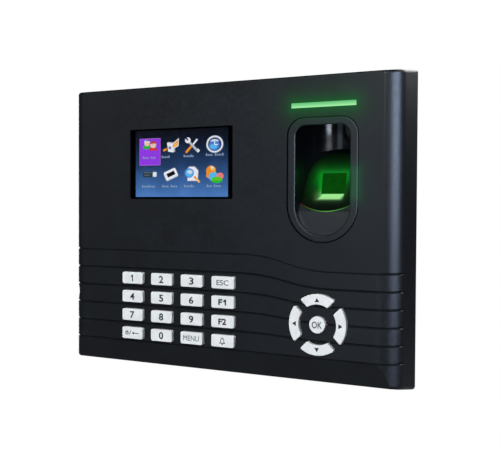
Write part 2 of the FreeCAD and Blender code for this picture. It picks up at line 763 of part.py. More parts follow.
def add_cover_posts(body):
    """Posts inside the cover: screw bosses, and standoffs for the boards."""
    posts = (
        (BOSS_PLACES, "boss_radius", "cover_depth", "screw_radius"),
        (BUTTON_SCREW_PLACES, "standoff_radius", BUTTON_BOARD_DEPTH, "pilot_radius"),
        (MAIN_SCREW_PLACES, "standoff_radius", "main_board_depth", "pilot_radius"),
        (LIGHT_POST_PLACES, "pilot_radius + 0.8", "light_board_depth", None),
    )
    for places, radius, end, pilot in posts:
        sketch = new_sketch(body, offset=INSIDE_WALL)
        post_circles(sketch, radius, places)
        pad(body, sketch, f"{end} - ({INSIDE_WALL})")
        if pilot:
            hole = new_sketch(body, offset=INSIDE_WALL + " + 1")
            post_circles(hole, pilot, places)
            pocket(body, hole, "cover_depth")


def cut_cover_openings(body):
    seat = new_sketch(body, x="screen_x", y="screen_z", offset="window_front")
    draw_rectangle(seat, "screen_width + 2 * window_border", "screen_height + 2 * window_border")
    pocket(body, seat, "cover_wall")
    screen = new_sketch(body, x="screen_x", y="screen_z", offset="-1")
    draw_rounded(screen, "screen_width", "screen_height", "screen_round")
    pocket(body, screen, "cover_wall + 2")
    guide = new_sketch(body, x="guide_x", y="guide_z", offset="-1")
    draw_arch(guide, "guide_width", "guide_height", "guide_round")
    pocket(body, guide, "cover_wall + 2")
    slot = new_sketch(body, x="bar_x", y="bar_z", offset="-1")
    draw_rectangle(slot, "bar_width", "bar_height")
    pocket(body, slot, "cover_wall + 2")
    cut_key_holes(body)
    cut_nav_holes(body)


def make_front_cover():
    body = new_body("front_cover")
    block = make_casing_solid(body, "0", "cover_depth")
    fillet(body, block, "side_round",
           lambda edge: straight_along(edge, UP) and lies_at(edge, "Y", 0))
    chin = cut_chin(body)
    shell = hollow(body, chin, "cover_depth", "cover_wall")
    rear = number("cover_depth")
    fillet(body, shell, "edge_round", lambda edge: on_casing_lid(edge, rear))
    cut_step(body)
    for index in range(int(number("wave_count"))):
        cut_wave(body, index)
    for side in (-1, 1):
        cut_wave_ends(body, side)
    add_cover_posts(body)
    cut_cover_openings(body)
    return body


def on_rear_rim(edge):
    """Whether an edge is one of the casing's upright rear edges."""
    far_out = edge.BoundBox.XMin > number("front_width") / 2
    far_out = far_out or edge.BoundBox.XMax < -number("front_width") / 2
    return far_out and straight_along(edge, UP) and lies_at(edge, "Y", number("rim_depth"))


# Sockets on the main board: name, middle x, middle z, width and height.
SOCKETS = (
    ("ethernet_socket", "-60", "-18", "16", "14"),
    ("usb_socket", "-38", "-18", "15", "8"),
    ("power_socket", "-20", "-18", "10", "10"),
    ("terminal_upper", "7", "-9", "38", "8.5"),
    ("terminal_lower", "7", "-27", "38", "8.5"),
)


def make_rear_cover():
    body = new_body("rear_cover")
    make_casing_solid(body, "cover_depth", "rim_depth")
    platform = new_sketch(body, offset="rim_depth - 1")
    draw_rounded(platform, "platform_width", "platform_height", "platform_round")
    block = pad(body, platform, "back_depth - rim_depth + 1")
    shell = hollow(body, block, "cover_depth", "rear_wall")
    joint = number("cover_depth")
    fillet(body, shell, "edge_round",
           lambda edge: on_casing_lid(edge, joint) or on_rear_rim(edge))
    add_rear_bosses(body)
    cut_rear_openings(body)
    return body


def add_rear_bosses(body):
    """Sleeves for the cover screws, with a recess for each head."""
    sleeve = new_sketch(body, offset="cover_depth")
    post_circles(sleeve, "counterbore_radius + 1.2", BOSS_PLACES)
    pad(body, sleeve, "rim_depth - cover_depth - 0.5")
    hole = new_sketch(body, offset="cover_depth - 1")
    post_circles(hole, "screw_clearance", BOSS_PLACES)
    pocket(body, hole, "rim_depth")
    recess = new_sketch(body, offset="rim_depth - head_height - 0.6")
    post_circles(recess, "counterbore_radius", BOSS_PLACES)
    pocket(body, recess, "rim_depth")


def cut_rear_openings(body):
    """Holes in the back for the sockets, the hooks, the tamper plunger and the speaker."""
    inside = "back_depth - rear_wall - 0.5"
    for label, x, z, width, height in SOCKETS:
        hole = new_sketch(body, x=x, y=z, offset=inside)
        draw_rectangle(hole, f"{width} + 2 * socket_gap", f"{height} + 2 * socket_gap")
        pocket(body, hole, "rear_wall + 2")
    slots = new_sketch(body, offset=inside)
    for side in (-1, 1):
        draw_rectangle(slots, "hook_width + 1", "plate_thickness + hook_lip + 1",
                       f"{side} * hook_x", "hook_z + hook_lip / 2")
    pocket(body, slots, "rear_wall + 2")
    plunger = new_sketch(body, x="tamper_x", y="tamper_z", offset=inside)
    draw_circle(plunger, "plunger_radius + 0.4")
    pocket(body, plunger, "rear_wall + 2")
    grille = new_sketch(body, x="speaker_x", y="speaker_z - 2 * grille_pitch", offset=inside)
    draw_rectangle(grille, "grille_length", "grille_slot")
    first = pocket(body, grille, "rear_wall + 2")
    rows = body.newObject("PartDesign::LinearPattern", "grille_slots")
    rows.Originals = [first]
    rows.Direction = (grille, ["V_Axis"])
    rows.Mode = "Spacing"
    bind(rows, "Offset", "grille_pitch")
    rows.Occurrences = 5
    body.Tip = rows
    lock = new_sketch(body, "plan", x="0", y="lock_depth", offset="-platform_height / 2 - 1")
    draw_circle(lock, "lock_radius")
    pocket(body, lock, "rear_wall + 4", reverse=True)


def make_wall_plate():
    """Sheet metal: a flat plate with two hooks at the top and a lock tab at the bottom."""
    body = new_body("wall_plate", depth="total_depth - plate_thickness")
    face = new_sketch(body)
    draw_rounded(face, "platform_width", "platform_height", "platform_round")
    pad(body, face, "plate_thickness")
    holes = new_sketch(body, offset="-1")
    post_circles(holes, "plate_hole_radius",
                 mirrored_places("plate_screw_x / 2", "plate_screw_z / 2"))
    draw_circle(holes, "speaker_radius - 3", "speaker_x", "speaker_z")
    pocket(body, holes, "plate_thickness + 2")
    cable = new_sketch(body, x="cable_opening_x", y="cable_opening_z", offset="-1")
    draw_rounded(cable, "cable_opening_width", "cable_opening_height", "platform_round / 2")
    pocket(body, cable, "plate_thickness + 2")
    arms = new_sketch(body, offset="-hook_reach")
    ends = new_sketch(body, offset="-hook_reach")
    for side in (-1, 1):
        draw_rectangle(arms, "hook_width", "plate_thickness", f"{side} * hook_x", "hook_z")
        draw_rectangle(ends, "hook_width", "plate_thickness + hook_lip", f"{side} * hook_x",
                       "hook_z + hook_lip / 2")
    pad(body, arms, "hook_reach + 0.5")
    pad(body, ends, "plate_thickness")
    tab = new_sketch(body, y="-(platform_height + plate_thickness) / 2 - 0.1",
                     offset="-lock_reach")
    draw_rectangle(tab, "lock_width", "plate_thickness")
    pad(body, tab, "lock_reach + plate_thickness")
    bridge = new_sketch(body, y="-platform_height / 2")
    draw_rectangle(bridge, "lock_width", "2 * plate_thickness")
    pad(body, bridge, "plate_thickness")
    screw = new_sketch(body, "plan", y="lock_depth - total_depth + plate_thickness",
                       offset="-platform_height / 2 - 4")
    draw_circle(screw, "lock_radius + 0.2")
    pocket(body, screw, "6", reverse=True)
    return body


# ---- finger guide and sensor -------------------------------------------------------------------

def on_slope(along, inward, axis):
    """A point of the sensor's slope: along it from its lower end, and inward from its face.
    The axis is "depth" or "z"."""
    if axis == "depth":
        return (f"(ramp_top_depth + ({along}) * sin(sensor_tilt)"
                f" + ({inward}) * cos(sensor_tilt))")
    return f"(ramp_top_z + ({along}) * cos(sensor_tilt) - ({inward}) * sin(sensor_tilt))"


def slope_body(label, along):
    """A body that leans back with the sensor: local z runs up the slope, local y inward."""
    lean = Rotation(Vector(1, 0, 0), -number("sensor_tilt"))
    depth, z = on_slope(along, "0", "depth"), on_slope(along, "0", "z")
    return new_body(label, "guide_x", depth, z, lean)


def slope_block(label, width, height, front, back, along):
    body = slope_body(label, along)
    sketch = new_sketch(body, offset=front)
    draw_rectangle(sketch, width, height)
    pad(body, sketch, f"{back} - ({front})")
    return body


def draw_bezel(sketch, grow):
    """The bezel's outline: straight sides, a half-round upper end and a flatter lower one."""
    a = number("bezel_width") / 2 + number(grow)
    top = number("bezel_length") / 2 + number(grow)
    low_radius = number("bezel_lower_round") + number(grow)
    low_centre = low_radius - top
    sweep = math.degrees(math.asin(a / low_radius))
    meet = low_centre - low_radius * math.cos(math.radians(sweep))
    first = len(sketch.Geometry)
    shapes = [
        Part.LineSegment(Vector(a, meet, 0), Vector(a, top - a, 0)),
        arc(Vector(0, top - a, 0), a, 0, 180),
        Part.LineSegment(Vector(-a, top - a, 0), Vector(-a, meet, 0)),
        arc(Vector(0, low_centre, 0), low_radius, 270 - sweep, 270 + sweep),
    ]
    sketch.addGeometry(shapes, False)
    hold(sketch, "Tangent", first, 2, first + 1, 1)
    hold(sketch, "Tangent", first + 1, 2, first + 2, 1)
    hold(sketch, "Coincident", first + 2, 2, first + 3, 1)
    hold(sketch, "Coincident", first + 3, 2, first, 1)
    for side in (first, first + 2):
        hold(sketch, "Vertical", side)
    hold(sketch, "PointOnObject", first + 3, 3, -2)
    hold(sketch, "Radius", first + 3, amount=f"bezel_lower_round + {grow}")
    hold(sketch, "DistanceX", -1, 1, first, 1, amount=f"bezel_width / 2 + {grow}")
    hold(sketch, "DistanceX", first + 2, 1, -1, 1, amount=f"bezel_width / 2 + {grow}")
    hold(sketch, "DistanceY", -1, 1, first + 1, 3,
         amount="bezel_length / 2 - bezel_width / 2")
    hold(sketch, "DistanceY", -1, 1, first + 3, 3,
         amount="bezel_lower_round - bezel_length / 2")


def upright_tube(label, half_width, front, back, low, high):
    """A box with a half-round back, standing upright, between two depths and two heights."""
    box = part_box(label + "_box", f"2 * ({half_width})", f"{back} - ({half_width}) - ({front})",
                   f"{high} - ({low})", "guide_x", front, f"(({low}) + ({high})) / 2")
    rod = doc.addObject("Part::Cylinder", label + "_round")
    rod.Angle = 180
    bind(rod, "Radius", half_width)
    bind(rod, "Height", f"{high} - ({low})")
    bind(rod, "Placement.Base.x", "guide_x")
    bind(rod, "Placement.Base.y", f"{back} - ({half_width}) - total_depth")
    bind(rod, "Placement.Base.z", low)
    return joined(label, box, rod)


def side_prism(label, corners, half_width):
    """A side-view polygon of (depth, z) formulas, as wide as twice half_width."""
    body = new_body(label, "guide_x")
    sketch = new_sketch(body, "side")
    draw_polygon(sketch, corners)
    pad(body, sketch, f"2 * ({half_width})", symmetric=True)
    return body


RECESS_LOW = "recess_z - recess_height / 2"
RECESS_HIGH = "recess_z + recess_height / 2"


def floor_lines():
    """The side view of the sloping floor under the sensor: its upper and its lower corners, and
    the depth and the height of the lower side's foot."""
    top = "bezel_length"
    back, thick = "recess_depth + guide_wall / 2", "floor_thickness"
    shelf = f"{on_slope(top, '0', 'z')} + 2.2"
    under = f"({on_slope(top, '0', 'z')} - 0.6)"
    foot, lowest = "cover_wall + flange_thickness + 1.5", f"{RECESS_LOW} - guide_wall / 2"
    upper = [
        ("ramp_bottom_depth", lowest),
        ("ramp_top_depth", "ramp_top_z"),
        (on_slope(top, "0", "depth"), on_slope(top, "0", "z")),
        (back, shelf),
    ]
    lower = [
        (back, under),
        (on_slope(f"{top} + 1", thick, "depth"), on_slope(f"{top} + 1", thick, "z")),
        (on_slope("0", thick, "depth"), on_slope("0", thick, "z")),
        (foot, lowest),
    ]
    return upper, lower, foot, under


def make_hood():
    """The deep hood, open below the sloping floor, and the floor itself."""
    half = "recess_width / 2"
    outer = upright_tube("guide_outer", f"{half} + guide_wall", "cover_wall",
                         "recess_depth + guide_wall", f"{RECESS_LOW} - guide_wall",
                         f"{RECESS_HIGH} + guide_wall")
    inner = upright_tube("guide_inner", half, "cover_wall - 1", "recess_depth", RECESS_LOW,
                         RECESS_HIGH)
    upper, lower, foot, under = floor_lines()
    floor = side_prism("guide_floor", upper + lower, f"{half} + guide_wall / 2")
    far, beneath = "recess_depth + 2 * guide_wall + 5", f"{RECESS_LOW} - 10"
    below = [(far, under)] + lower + [(foot, beneath), (far, beneath)]
    room = side_prism("guide_room", below, f"{half} + 2 * guide_wall")
    return cut_away("guide_hood", outer, inner, room), floor


def make_ring():
    """The ring that is seen in the cover's opening."""
    ring = new_body("guide_ring")
    outline = new_sketch(ring, x="guide_x", y="guide_z", offset="step_depth")
    draw_arch(outline, "guide_width - 2 * guide_gap", "guide_height - 2 * guide_gap",
              "guide_round - guide_gap")
    plate = pad(ring, outline, "cover_wall + 0.5 - step_depth")
    fillet(ring, plate, "ring_edge", lambda edge: lies_at(edge, "Y", number("step_depth")))
    mouth = new_sketch(ring, x="guide_x", y="recess_z", offset="-1")
    draw_arch(mouth, "recess_width", "recess_height", "recess_round")
    cut = pocket(ring, mouth, "cover_wall + 3")
    fillet(ring, cut, "ring_edge", is_ring_mouth)
    return ring


def make_flange():
    """The flange that presses on the cover from behind."""
    flange = new_body("guide_flange")
    outline = new_sketch(flange, x="guide_x", y="guide_z", offset="cover_wall")
    draw_arch(outline, "guide_width + 2 * guide_flange", "guide_height + 2 * guide_flange",
              "guide_round + guide_flange")
    pad(flange, outline, "flange_thickness")
    opening = new_sketch(flange, x="guide_x", y="recess_z", offset="cover_wall - 1")
    draw_arch(opening, "recess_width", "recess_height", "recess_round")
    pocket(flange, opening, "flange_thickness + 3")
    return flange


def make_finger_guide():
    """Ring and flange in the cover, a deep hood behind them, and a floor with the bezel's seat."""
    hood, floor = make_hood()
    whole = joined("guide_whole", hood, floor, make_ring(), make_flange())
    seat = slope_body("guide_seat", "bezel_length / 2")
    outline = new_sketch(seat, offset="-2")
    draw_bezel(outline, "0.08")
    pad(seat, outline, "bezel_thickness + 2")
    window = slope_block("guide_window", "housing_width + 0.6", "housing_height + 0.6", "1",
                         "floor_thickness + 3", "bezel_length / 2 - collar_shift")
    return cut_away("finger_guide", whole, seat, window)


def is_ring_mouth(edge):
    """Whether an edge is on the inner outline of the ring's front face."""
    if not lies_at(edge, "Y", number("step_depth")):
        return False
    reach = number("recess_width") / 2 + 0.01
    return abs(edge.CenterOfMass.x - number("guide_x")) < reach and (
        edge.BoundBox.ZMax < number("recess_z + recess_height / 2") + 0.01
        and edge.BoundBox.ZMin > number("recess_z - recess_height / 2") - 0.01)


def prism_axes():
    """The prism's face: its middle, the direction up along it, and its outward normal."""
    lean = math.radians(number("prism_tilt"))
    middle = Vector(number("guide_x"), number("prism_depth") - number("total_depth"),
                    number("prism_z"))
    up = Vector(0, math.sin(lean), math.cos(lean))
    outward = Vector(0, -math.cos(lean), math.sin(lean))
    return middle, up, outward


def upright_rectangle(middle, up, width, height):
    """A closed wire, width along X and height along up."""
    side = Vector(width / 2, 0, 0)
    rise = Vector(up.x, up.y, up.z) * (height / 2)
    corners = [middle - side - rise, middle + side - rise, middle + side + rise,
               middle - side + rise]
    return Part.makePolygon(corners + corners[:1])


def make_funnel():
    """The space in front of the prism, from the mouth in the bezel's face to the prism."""
    tilt = math.radians(number("sensor_tilt"))
    up = Vector(0, math.sin(tilt), math.cos(tilt))
    outward = Vector(0, -math.cos(tilt), math.sin(tilt))
    along = "bezel_length / 2 - funnel_shift"
    mouth_middle = Vector(number("guide_x"), number(on_slope(along, "0", "depth")),
                          number(on_slope(along, "0", "z")))
    mouth_middle.y -= number("total_depth")
    mouth = upright_rectangle(mouth_middle + outward * 0.02, up, number("funnel_width"),
                              number("funnel_height"))
    middle, face_up, _ = prism_axes()
    face = upright_rectangle(middle, face_up, number("prism_width"), number("prism_height"))
    funnel = doc.addObject("Part::Feature", "funnel")
    funnel.Shape = Part.makeLoft([mouth, face], True, True)
    return funnel


def prism_block(label, grow, thickness):
    """A block behind the prism's face, wider than it by grow all round."""
    middle, face_up, face_out = prism_axes()
    width = number("prism_width") + 2 * grow
    height = number("prism_height") + 2 * grow
    block = doc.addObject("Part::Feature", label)
    outline = upright_rectangle(middle, face_up, width, height)
    block.Shape = Part.Face(outline).extrude(face_out * -thickness)
    return block


# How far up the slope the middle of the collar and the housing lies.
HOUSING_ALONG = "bezel_length / 2 - collar_shift"


def make_bezel():
    """Bezel with its collar, the funnel in front of the prism, and the prism in its seat."""
    slab = slope_body("bezel_slab", "bezel_length / 2")
    outline = new_sketch(slab)
    draw_bezel(outline, "0")
    slab_pad = pad(slab, outline, "bezel_thickness")
    fillet(slab, slab_pad, "bezel_edge", lambda edge: lies_at(edge, "Y", 0), "Chamfer")
    collar = slope_block("bezel_collar", "collar_width", "collar_height",
                         "bezel_thickness / 2", "collar_back", HOUSING_ALONG)
    bezel = joined("bezel_whole", slab, collar)
    flange, thickness = number("prism_flange"), number("prism_thickness")
    seat = prism_block("prism_seat", flange + 0.05, thickness + 0.05)
    light_path = prism_block("prism_light_path", -1, 3 * thickness)
    cut_away("sensor_bezel", bezel, make_funnel(), seat, light_path)
    prism_block("sensor_prism", flange, thickness)


def make_housing():
    shell = slope_block("housing_shell", "housing_width", "housing_height", "housing_front",
                        "housing_back", HOUSING_ALONG)
    well = slope_block("housing_well", "collar_width + 0.2", "collar_height + 0.2",
                       "housing_front - 1", "collar_back + 0.1", HOUSING_ALONG)
    chamber = slope_block("housing_chamber", "housing_room", "housing_room", "collar_back",
                          "housing_back + 1", HOUSING_ALONG)
    cut_away("sensor_housing", shell, well, chamber)


def make_optics():
    """Board behind the housing, with the lens and four lamps on it."""
    slope_block("sensor_board", "housing_width", "housing_height", "housing_back",
                "housing_back + sensor_board_thickness", HOUSING_ALONG)
    lens = slope_body("sensor_lens", HOUSING_ALONG)
    barrel = new_sketch(lens, offset="housing_back - 1.4")
    draw_circle(barrel, "lens_radius")
    pad(lens, barrel, "1.4")
    lamps = slope_body("sensor_lamps", HOUSING_ALONG)
    dies = new_sketch(lamps, offset="housing_back - 1")
    for x, z in mirrored_places("housing_room / 2 - 2", "housing_room / 2 - 2"):
        draw_rectangle(dies, "2", "1.4", x, z)
    pad(lamps, dies, "1")
    lamps.AllowCompound = True


def make_sensor():
    make_bezel()
    make_housing()
    make_optics()


# ---- display ----------------------------------------------------------------------------------

def make_display():
    seat_width = "screen_width + 2 * window_border"
    seat_height = "screen_height + 2 * window_border"
    plain_block("display_window", f"{seat_width} - 0.3", f"{seat_height} - 0.3",
                "window_thickness", "screen_x", "window_front", "screen_z")
    mask_depth = "window_front + window_thickness"
    mask = plain_block("display_mask", f"{seat_width} - 0.6", f"{seat_height} - 0.6",
                       "mask_thickness", "screen_x", mask_depth, "screen_z")
    hole = new_sketch(mask, x="picture_x - screen_x", y="picture_z - screen_z", offset="-1")
    draw_rectangle(hole, "picture_width", "picture_height")
    pocket(mask, hole, "3")
    panel_depth = f"{mask_depth} + mask_thickness"
    panel_width, panel_height = f"({seat_width} - 3.5)", f"({seat_height} - 2.4)"
    plain_block("display_panel", panel_width, panel_height, "panel_thickness", "screen_x",
                panel_depth, "screen_z")
    tray = plain_block("display_tray", f"{panel_width} + 2 * tray_wall + 0.2",
                       f"{panel_height} + 2 * tray_wall + 0.2",
                       "panel_thickness + tray_wall - 0.2", "screen_x",
                       f"{panel_depth} + 0.2", "screen_z")
    well = new_sketch(tray, offset="-1")
    draw_rectangle(well, f"{panel_width} + 0.1", f"{panel_height} + 0.1")
    pocket(tray, well, "panel_thickness + 0.8")


# ---- keys --------------------------------------------------------------------------------------

KEY_NAMES = (
    ("key_1", "key_2", "key_3", "key_escape"),
    ("key_4", "key_5", "key_6", "key_f1"),
    ("key_7", "key_8", "key_9", "key_f2"),
    ("key_power", "key_0", "key_menu", "key_bell"),
)
NAV_NAMES = ("key_right", "key_up", "key_left", "key_down")


def round_front(body, feature):
    front = number("-key_proud")
    fillet(body, feature, "key_edge", lambda edge: lies_at(edge, "Y", front))


def make_key(label, column, row):
    """A key cap that stands out of the cover, with a lip behind the cover."""
    body = new_body(label, f"key_x + {column} * key_pitch_x", "0",
                    f"key_z - {row} * key_pitch_z")
    cap = new_sketch(body, offset="-key_proud")
    draw_rounded(cap, "key_width", "key_height", "key_round")
    round_front(body, pad(body, cap, "lip_back + key_proud"))
    lip = new_sketch(body, offset="lip_front")
    draw_rounded(lip, "key_width + 2 * key_lip + 2 * key_gap",
                 "key_height + 2 * key_lip + 2 * key_gap", "key_round")
    pad(body, lip, "lip_back - lip_front")


def make_nav_key(label, quarter):
    """A quarter-ring key: drawn to the right of the cluster's middle and turned into place."""
    turn = Rotation(Vector(0, -1, 0), 90 * quarter)
    body = new_body(label, "nav_x", "0", "nav_z", turn)
    cap = new_sketch(body, offset="-key_proud")
    draw_sector(cap, "nav_outer", "nav_inner", "nav_gap / 2")
    cap_pad = pad(body, cap, "lip_back + key_proud")
    corners = fillet(body, cap_pad, "nav_round",
                     lambda edge: straight_along(edge, Vector(0, 1, 0)))
    round_front(body, corners)
    lip = new_sketch(body, offset="lip_front")
    grow = "key_lip + key_gap"
    draw_sector(lip, f"nav_outer + {grow}", f"nav_inner - {grow}",
                f"nav_gap / 2 - {grow}")
    pad(body, lip, "lip_back - lip_front")


def make_ok_key():
    body = new_body("key_ok", "nav_x", "0", "nav_z")
    cap = new_sketch(body, offset="-key_proud")
    draw_circle(cap, "ok_radius")
    round_front(body, pad(body, cap, "lip_back + key_proud"))
    lip = new_sketch(body, offset="lip_front")
    draw_circle(lip, "ok_radius + key_lip + key_gap")
    pad(body, lip, "lip_back - lip_front")


def dome(name, x, z):
    """A rubber dome from the mat forward to the back of a key."""
    cone = doc.addObject("Part::Cone", name)
    cone.Placement = Placement(Vector(), Rotation(Vector(1, 0, 0), -90))
    bind(cone, "Radius1", "dome_tip")
    bind(cone, "Radius2", "dome_foot")
    bind(cone, "Height", "dome_height + 0.2")
    bind(cone, "Placement.Base.x", x)
    bind(cone, "Placement.Base.y", "lip_back - total_depth")
    bind(cone, "Placement.Base.z", z)
    return cone


def make_mats():
    columns, rows = "(key_columns - 1) * key_pitch_x", "(key_rows - 1) * key_pitch_z"
    mat_depth = "lip_back + dome_height"
    flat = part_box("keypad_sheet", f"{columns} + 2 * mat_margin", "mat_thickness",
                    f"{rows} + 2 * mat_margin - 2", f"key_x + {columns} / 2", mat_depth,
                    f"key_z - {rows} / 2")
    domes = [dome(f"dome_{row}_{column}", f"key_x + {column} * key_pitch_x",
                  f"key_z - {row} * key_pitch_z")
             for row in range(len(KEY_NAMES)) for column in range(len(KEY_NAMES[0]))]
    joined("keypad_mat", flat, *domes)
    disc = part_rod("nav_sheet", "nav_outer + 1.5", "mat_thickness", "nav_x", mat_depth,
                    "nav_z")
    middle = "(nav_outer + nav_inner) / 2"
    places = [("nav_x", "nav_z")]
    places += [(f"nav_x + {i} * {middle}", f"nav_z + {j} * {middle}")
               for i, j in ((1, 0), (0, 1), (-1, 0), (0, -1))]
    nav_domes = [dome(f"nav_dome_{index}", x, z) for index, (x, z) in enumerate(places)]
    joined("nav_mat", disc, *nav_domes)


def make_board(label, x, depth, z, width, height, holes):
    """A circuit board with screw holes."""
    board = plain_block(label, width, height, "board_thickness", x, depth, z)
    sketch = new_sketch(board, offset="-1")
    for hole_x, hole_z in holes:
        draw_circle(sketch, "pilot_radius + 0.3", f"{hole_x} - ({x})", f"{hole_z} - ({z})")
    pocket(board, sketch, "board_thickness + 2")


# ---- light bar ---------------------------------------------------------------------------------

def make_light_bar():
    front = "step_depth - bar_proud"
    bar = plain_block("light_bar", "bar_width - 0.1", "bar_height - 0.1",
                      f"cover_wall - ({front}) + bar_lip_thickness", "bar_x", front, "bar_z")
    lip = new_sketch(bar, offset=f"cover_wall - ({front})")
    draw_rectangle(lip, "bar_width + 2 * bar_lip", "bar_height + 2 * bar_lip")
    pad(bar, lip, "bar_lip_thickness")
    plain_block("light_board", "light_board_width", "light_board_height", "1", "bar_x",
                "light_board_depth", "bar_z")
    lamps = new_body("light_lamps", "bar_x", "light_board_depth - 1.2", "bar_z")
    dies = new_sketch(lamps)
    for index in range(4):
        draw_rectangle(dies, "3", "1.5", f"{index - 1.5} * bar_width / 4")
    lamps.AllowCompound = True
    pad(lamps, dies, "1.2")


# ---- what is on the main board -------------------------------------------------------------------

BOARD_BACK = "main_board_depth + board_thickness"


def make_sockets():
    reach = f"back_depth - 0.2 - ({BOARD_BACK})"
    blocks = {}
    for label, x, z, width, height in SOCKETS:
        blocks[label] = (part_box(label + "_block", width, reach, height, x, BOARD_BACK, z), x, z)
    jack, x, z = blocks["ethernet_socket"]
    port = part_box("ethernet_port", "11.8", "14", "7", x, "back_depth - 12.2", z)
    latch = part_box("ethernet_latch", "6", "14", "3", x, "back_depth - 12.2", f"{z} + 4.5")
    cut_away("ethernet_socket", jack, port, latch)
    jack, x, z = blocks["usb_socket"]
    port = part_box("usb_port", "12.6", "12", "5.2", x, "back_depth - 10.2", z)
    cut_away("usb_socket", jack, port)
    jack, x, z = blocks["power_socket"]
    port = part_rod("power_port", "3.2", "12", x, "back_depth - 9.2", z)
    barrel = cut_away("power_barrel", jack, port)
    pin = part_rod("power_pin", "1", "8", x, "back_depth - 9.7", z)
    joined("power_socket", barrel, pin)
    strips = []
    for label in ("terminal_upper", "terminal_lower"):
        block, x, z = blocks[label]
        holes = [part_box(f"{label}_{index}", "3.4", "8", "4.4", f"{x} + {index - 3.5} * 4.6",
                          "back_depth - 7", z) for index in range(8)]
        strips.append(cut_away(label, block, *holes))
    joined("terminal_blocks", *strips)


def make_board_parts():
    """Chips, relay, backup cell with its holder, tamper switch and speaker."""
    chips = (
        ("-35", "8", "16", "14"), ("-12", "26", "12", "10"), ("-30", "34", "9", "9"),
        ("12", "30", "8", "6"), ("14", "12", "6", "6"),
    )
    boxes = [part_box(f"chip_{index}", width, "1.4", height, x, BOARD_BACK, z)
             for index, (x, z, width, height) in enumerate(chips)]
    joined("board_chips", *boxes)
    part_box("relay", "15", "12", "12", "10", BOARD_BACK, "-43")
    cell_depth = f"{BOARD_BACK} + 1.2"
    part_rod("backup_cell", "cell_radius", "cell_thickness", "cell_x", cell_depth, "cell_z")
    tub = part_rod("cell_tub", "cell_radius + 1", "4.2", "cell_x", BOARD_BACK, "cell_z")
    room = part_rod("cell_room", "cell_radius + 0.1", "6", "cell_x", cell_depth, "cell_z")
    cut_away("cell_holder", tub, room)
    body = part_box("tamper_body", "8", "8", "8", "tamper_x", BOARD_BACK, "tamper_z")
    shaft = part_rod("tamper_shaft", "plunger_radius + 0.2", "8", "tamper_x",
                     f"{BOARD_BACK} + 3", "tamper_z")
    cut_away("tamper_switch", body, shaft)
    part_rod("tamper_plunger", "plunger_radius", f"back_depth - 0.05 - ({BOARD_BACK}) - 4.5",
             "tamper_x", f"{BOARD_BACK} + 4.5", "tamper_z")
    magnet_depth = "back_depth - rear_wall - speaker_deep"
    basket = part_rod("speaker_basket", "speaker_radius", "2", "speaker_x",
                      "back_depth - rear_wall - 2", "speaker_z")
    magnet = part_rod("speaker_magnet", "speaker_radius * 0.6", "speaker_deep - 1",
                      "speaker_x", magnet_depth, "speaker_z")
    joined("speaker", basket, magnet)


def screw(name, x, z, head_depth, head_side, head_radius, head_height, radius, length):
    """A screw along Y. head_side is 1 for a head nearest the wall and -1 for one in front."""
    shank_depth = f"{head_depth} - ({length})" if head_side > 0 else head_depth
    tip = f"{length} + 0.1"
    head = part_rod(name + "_head", head_radius, head_height, x, head_depth, z)
    shank = part_rod(name + "_shank", radius, tip, x, shank_depth, z)
    return [head, shank]


def make_screws():
    cover = []
    for index, (x, z) in enumerate(BOSS_PLACES):
        cover += screw(f"cover_screw_{index}", x, z, "rim_depth - head_height - 0.6", 1,
                       "head_radius", "head_height", "screw_radius", "14")
    joined("cover_screws", *cover)
    board = []
    for index, (x, z) in enumerate(MAIN_SCREW_PLACES):
        board += screw(f"main_screw_{index}", x, z, BOARD_BACK, 1, "2", "1.4",
                       "pilot_radius", "6")
    for index, (x, z) in enumerate(BUTTON_SCREW_PLACES):
        board += screw(f"button_screw_{index}", x, z,
                       f"{BUTTON_BOARD_DEPTH} + board_thickness", 1, "2", "1.4",
                       "pilot_radius", "4")
    joined("board_screws", *board)
    low = "-platform_height / 2 - plate_thickness - 0.1"
    pieces = []
    for name, radius, height, z in (("lock_head", "2.4", "1.6", f"{low} - 1.6"),
                                    ("lock_shank", "lock_radius", "6", f"{low} - 0.1")):
        rod = doc.addObject("Part::Cylinder", name)
        bind(rod, "Radius", radius)
        bind(rod, "Height", height)
        bind(rod, "Placement.Base.y", "lock_depth - total_depth")
        bind(rod, "Placement.Base.z", z)
        pieces.append(rod)
    joined("lock_screw", *pieces)


def make_cables():
    """The display's flat cable, the sensor's round cable and the board-to-board connectors."""
    flat = new_body("display_ribbon", "screen_x")
    band = new_sketch(flat, "side")
    start = "window_front + window_thickness + mask_thickness + panel_thickness + 0.5"
    plug = "main_board_depth - 2.4"
    draw_polygon(band, [
        (start, "24"), (start, "7.8"), (plug, "4.6"), (plug, "2"), ("main_board_depth", "2"),
        ("main_board_depth", "5.6"), (plug, "5.6"), (plug, "5"), (f"{start} + 0.35", "8.2"),
        (f"{start} + 0.35", "24"),
    ])
    pad(flat, band, "20", symmetric=True)
    front = f"{BUTTON_BOARD_DEPTH} + board_thickness"
    part_box("board_link", "24", f"main_board_depth - ({front})", "5", "-20", front, "-36")
    middle = "bezel_length / 2 - collar_shift"
    depth = number(on_slope(f"{middle} - 6", "housing_back + sensor_board_thickness", "depth"))
    height = number(on_slope(f"{middle} - 6", "housing_back + sensor_board_thickness", "z"))
    tilt = math.radians(number("sensor_tilt"))
    leave = Vector(0, math.cos(tilt), -math.sin(tilt))
    whole = number("total_depth")
    points = [
        Vector(number("guide_x"), depth - whole, height),
        Vector(40, depth + 2.5 - whole, height - 5),
        Vector(25, number(BOARD_BACK) - whole, 0),
    ]
    curve = Part.BSplineCurve()
    curve.interpolate(Points=points, InitialTangent=leave * 30, FinalTangent=Vector(0, -30, 0))
    path = Part.Wire(curve.toShape())
    ring = Part.Wire(Part.makeCircle(1.1, points[0], leave))
    cable = doc.addObject("Part::Feature", "sensor_cable")
    cable.Shape = path.makePipeShell([ring], True, True)


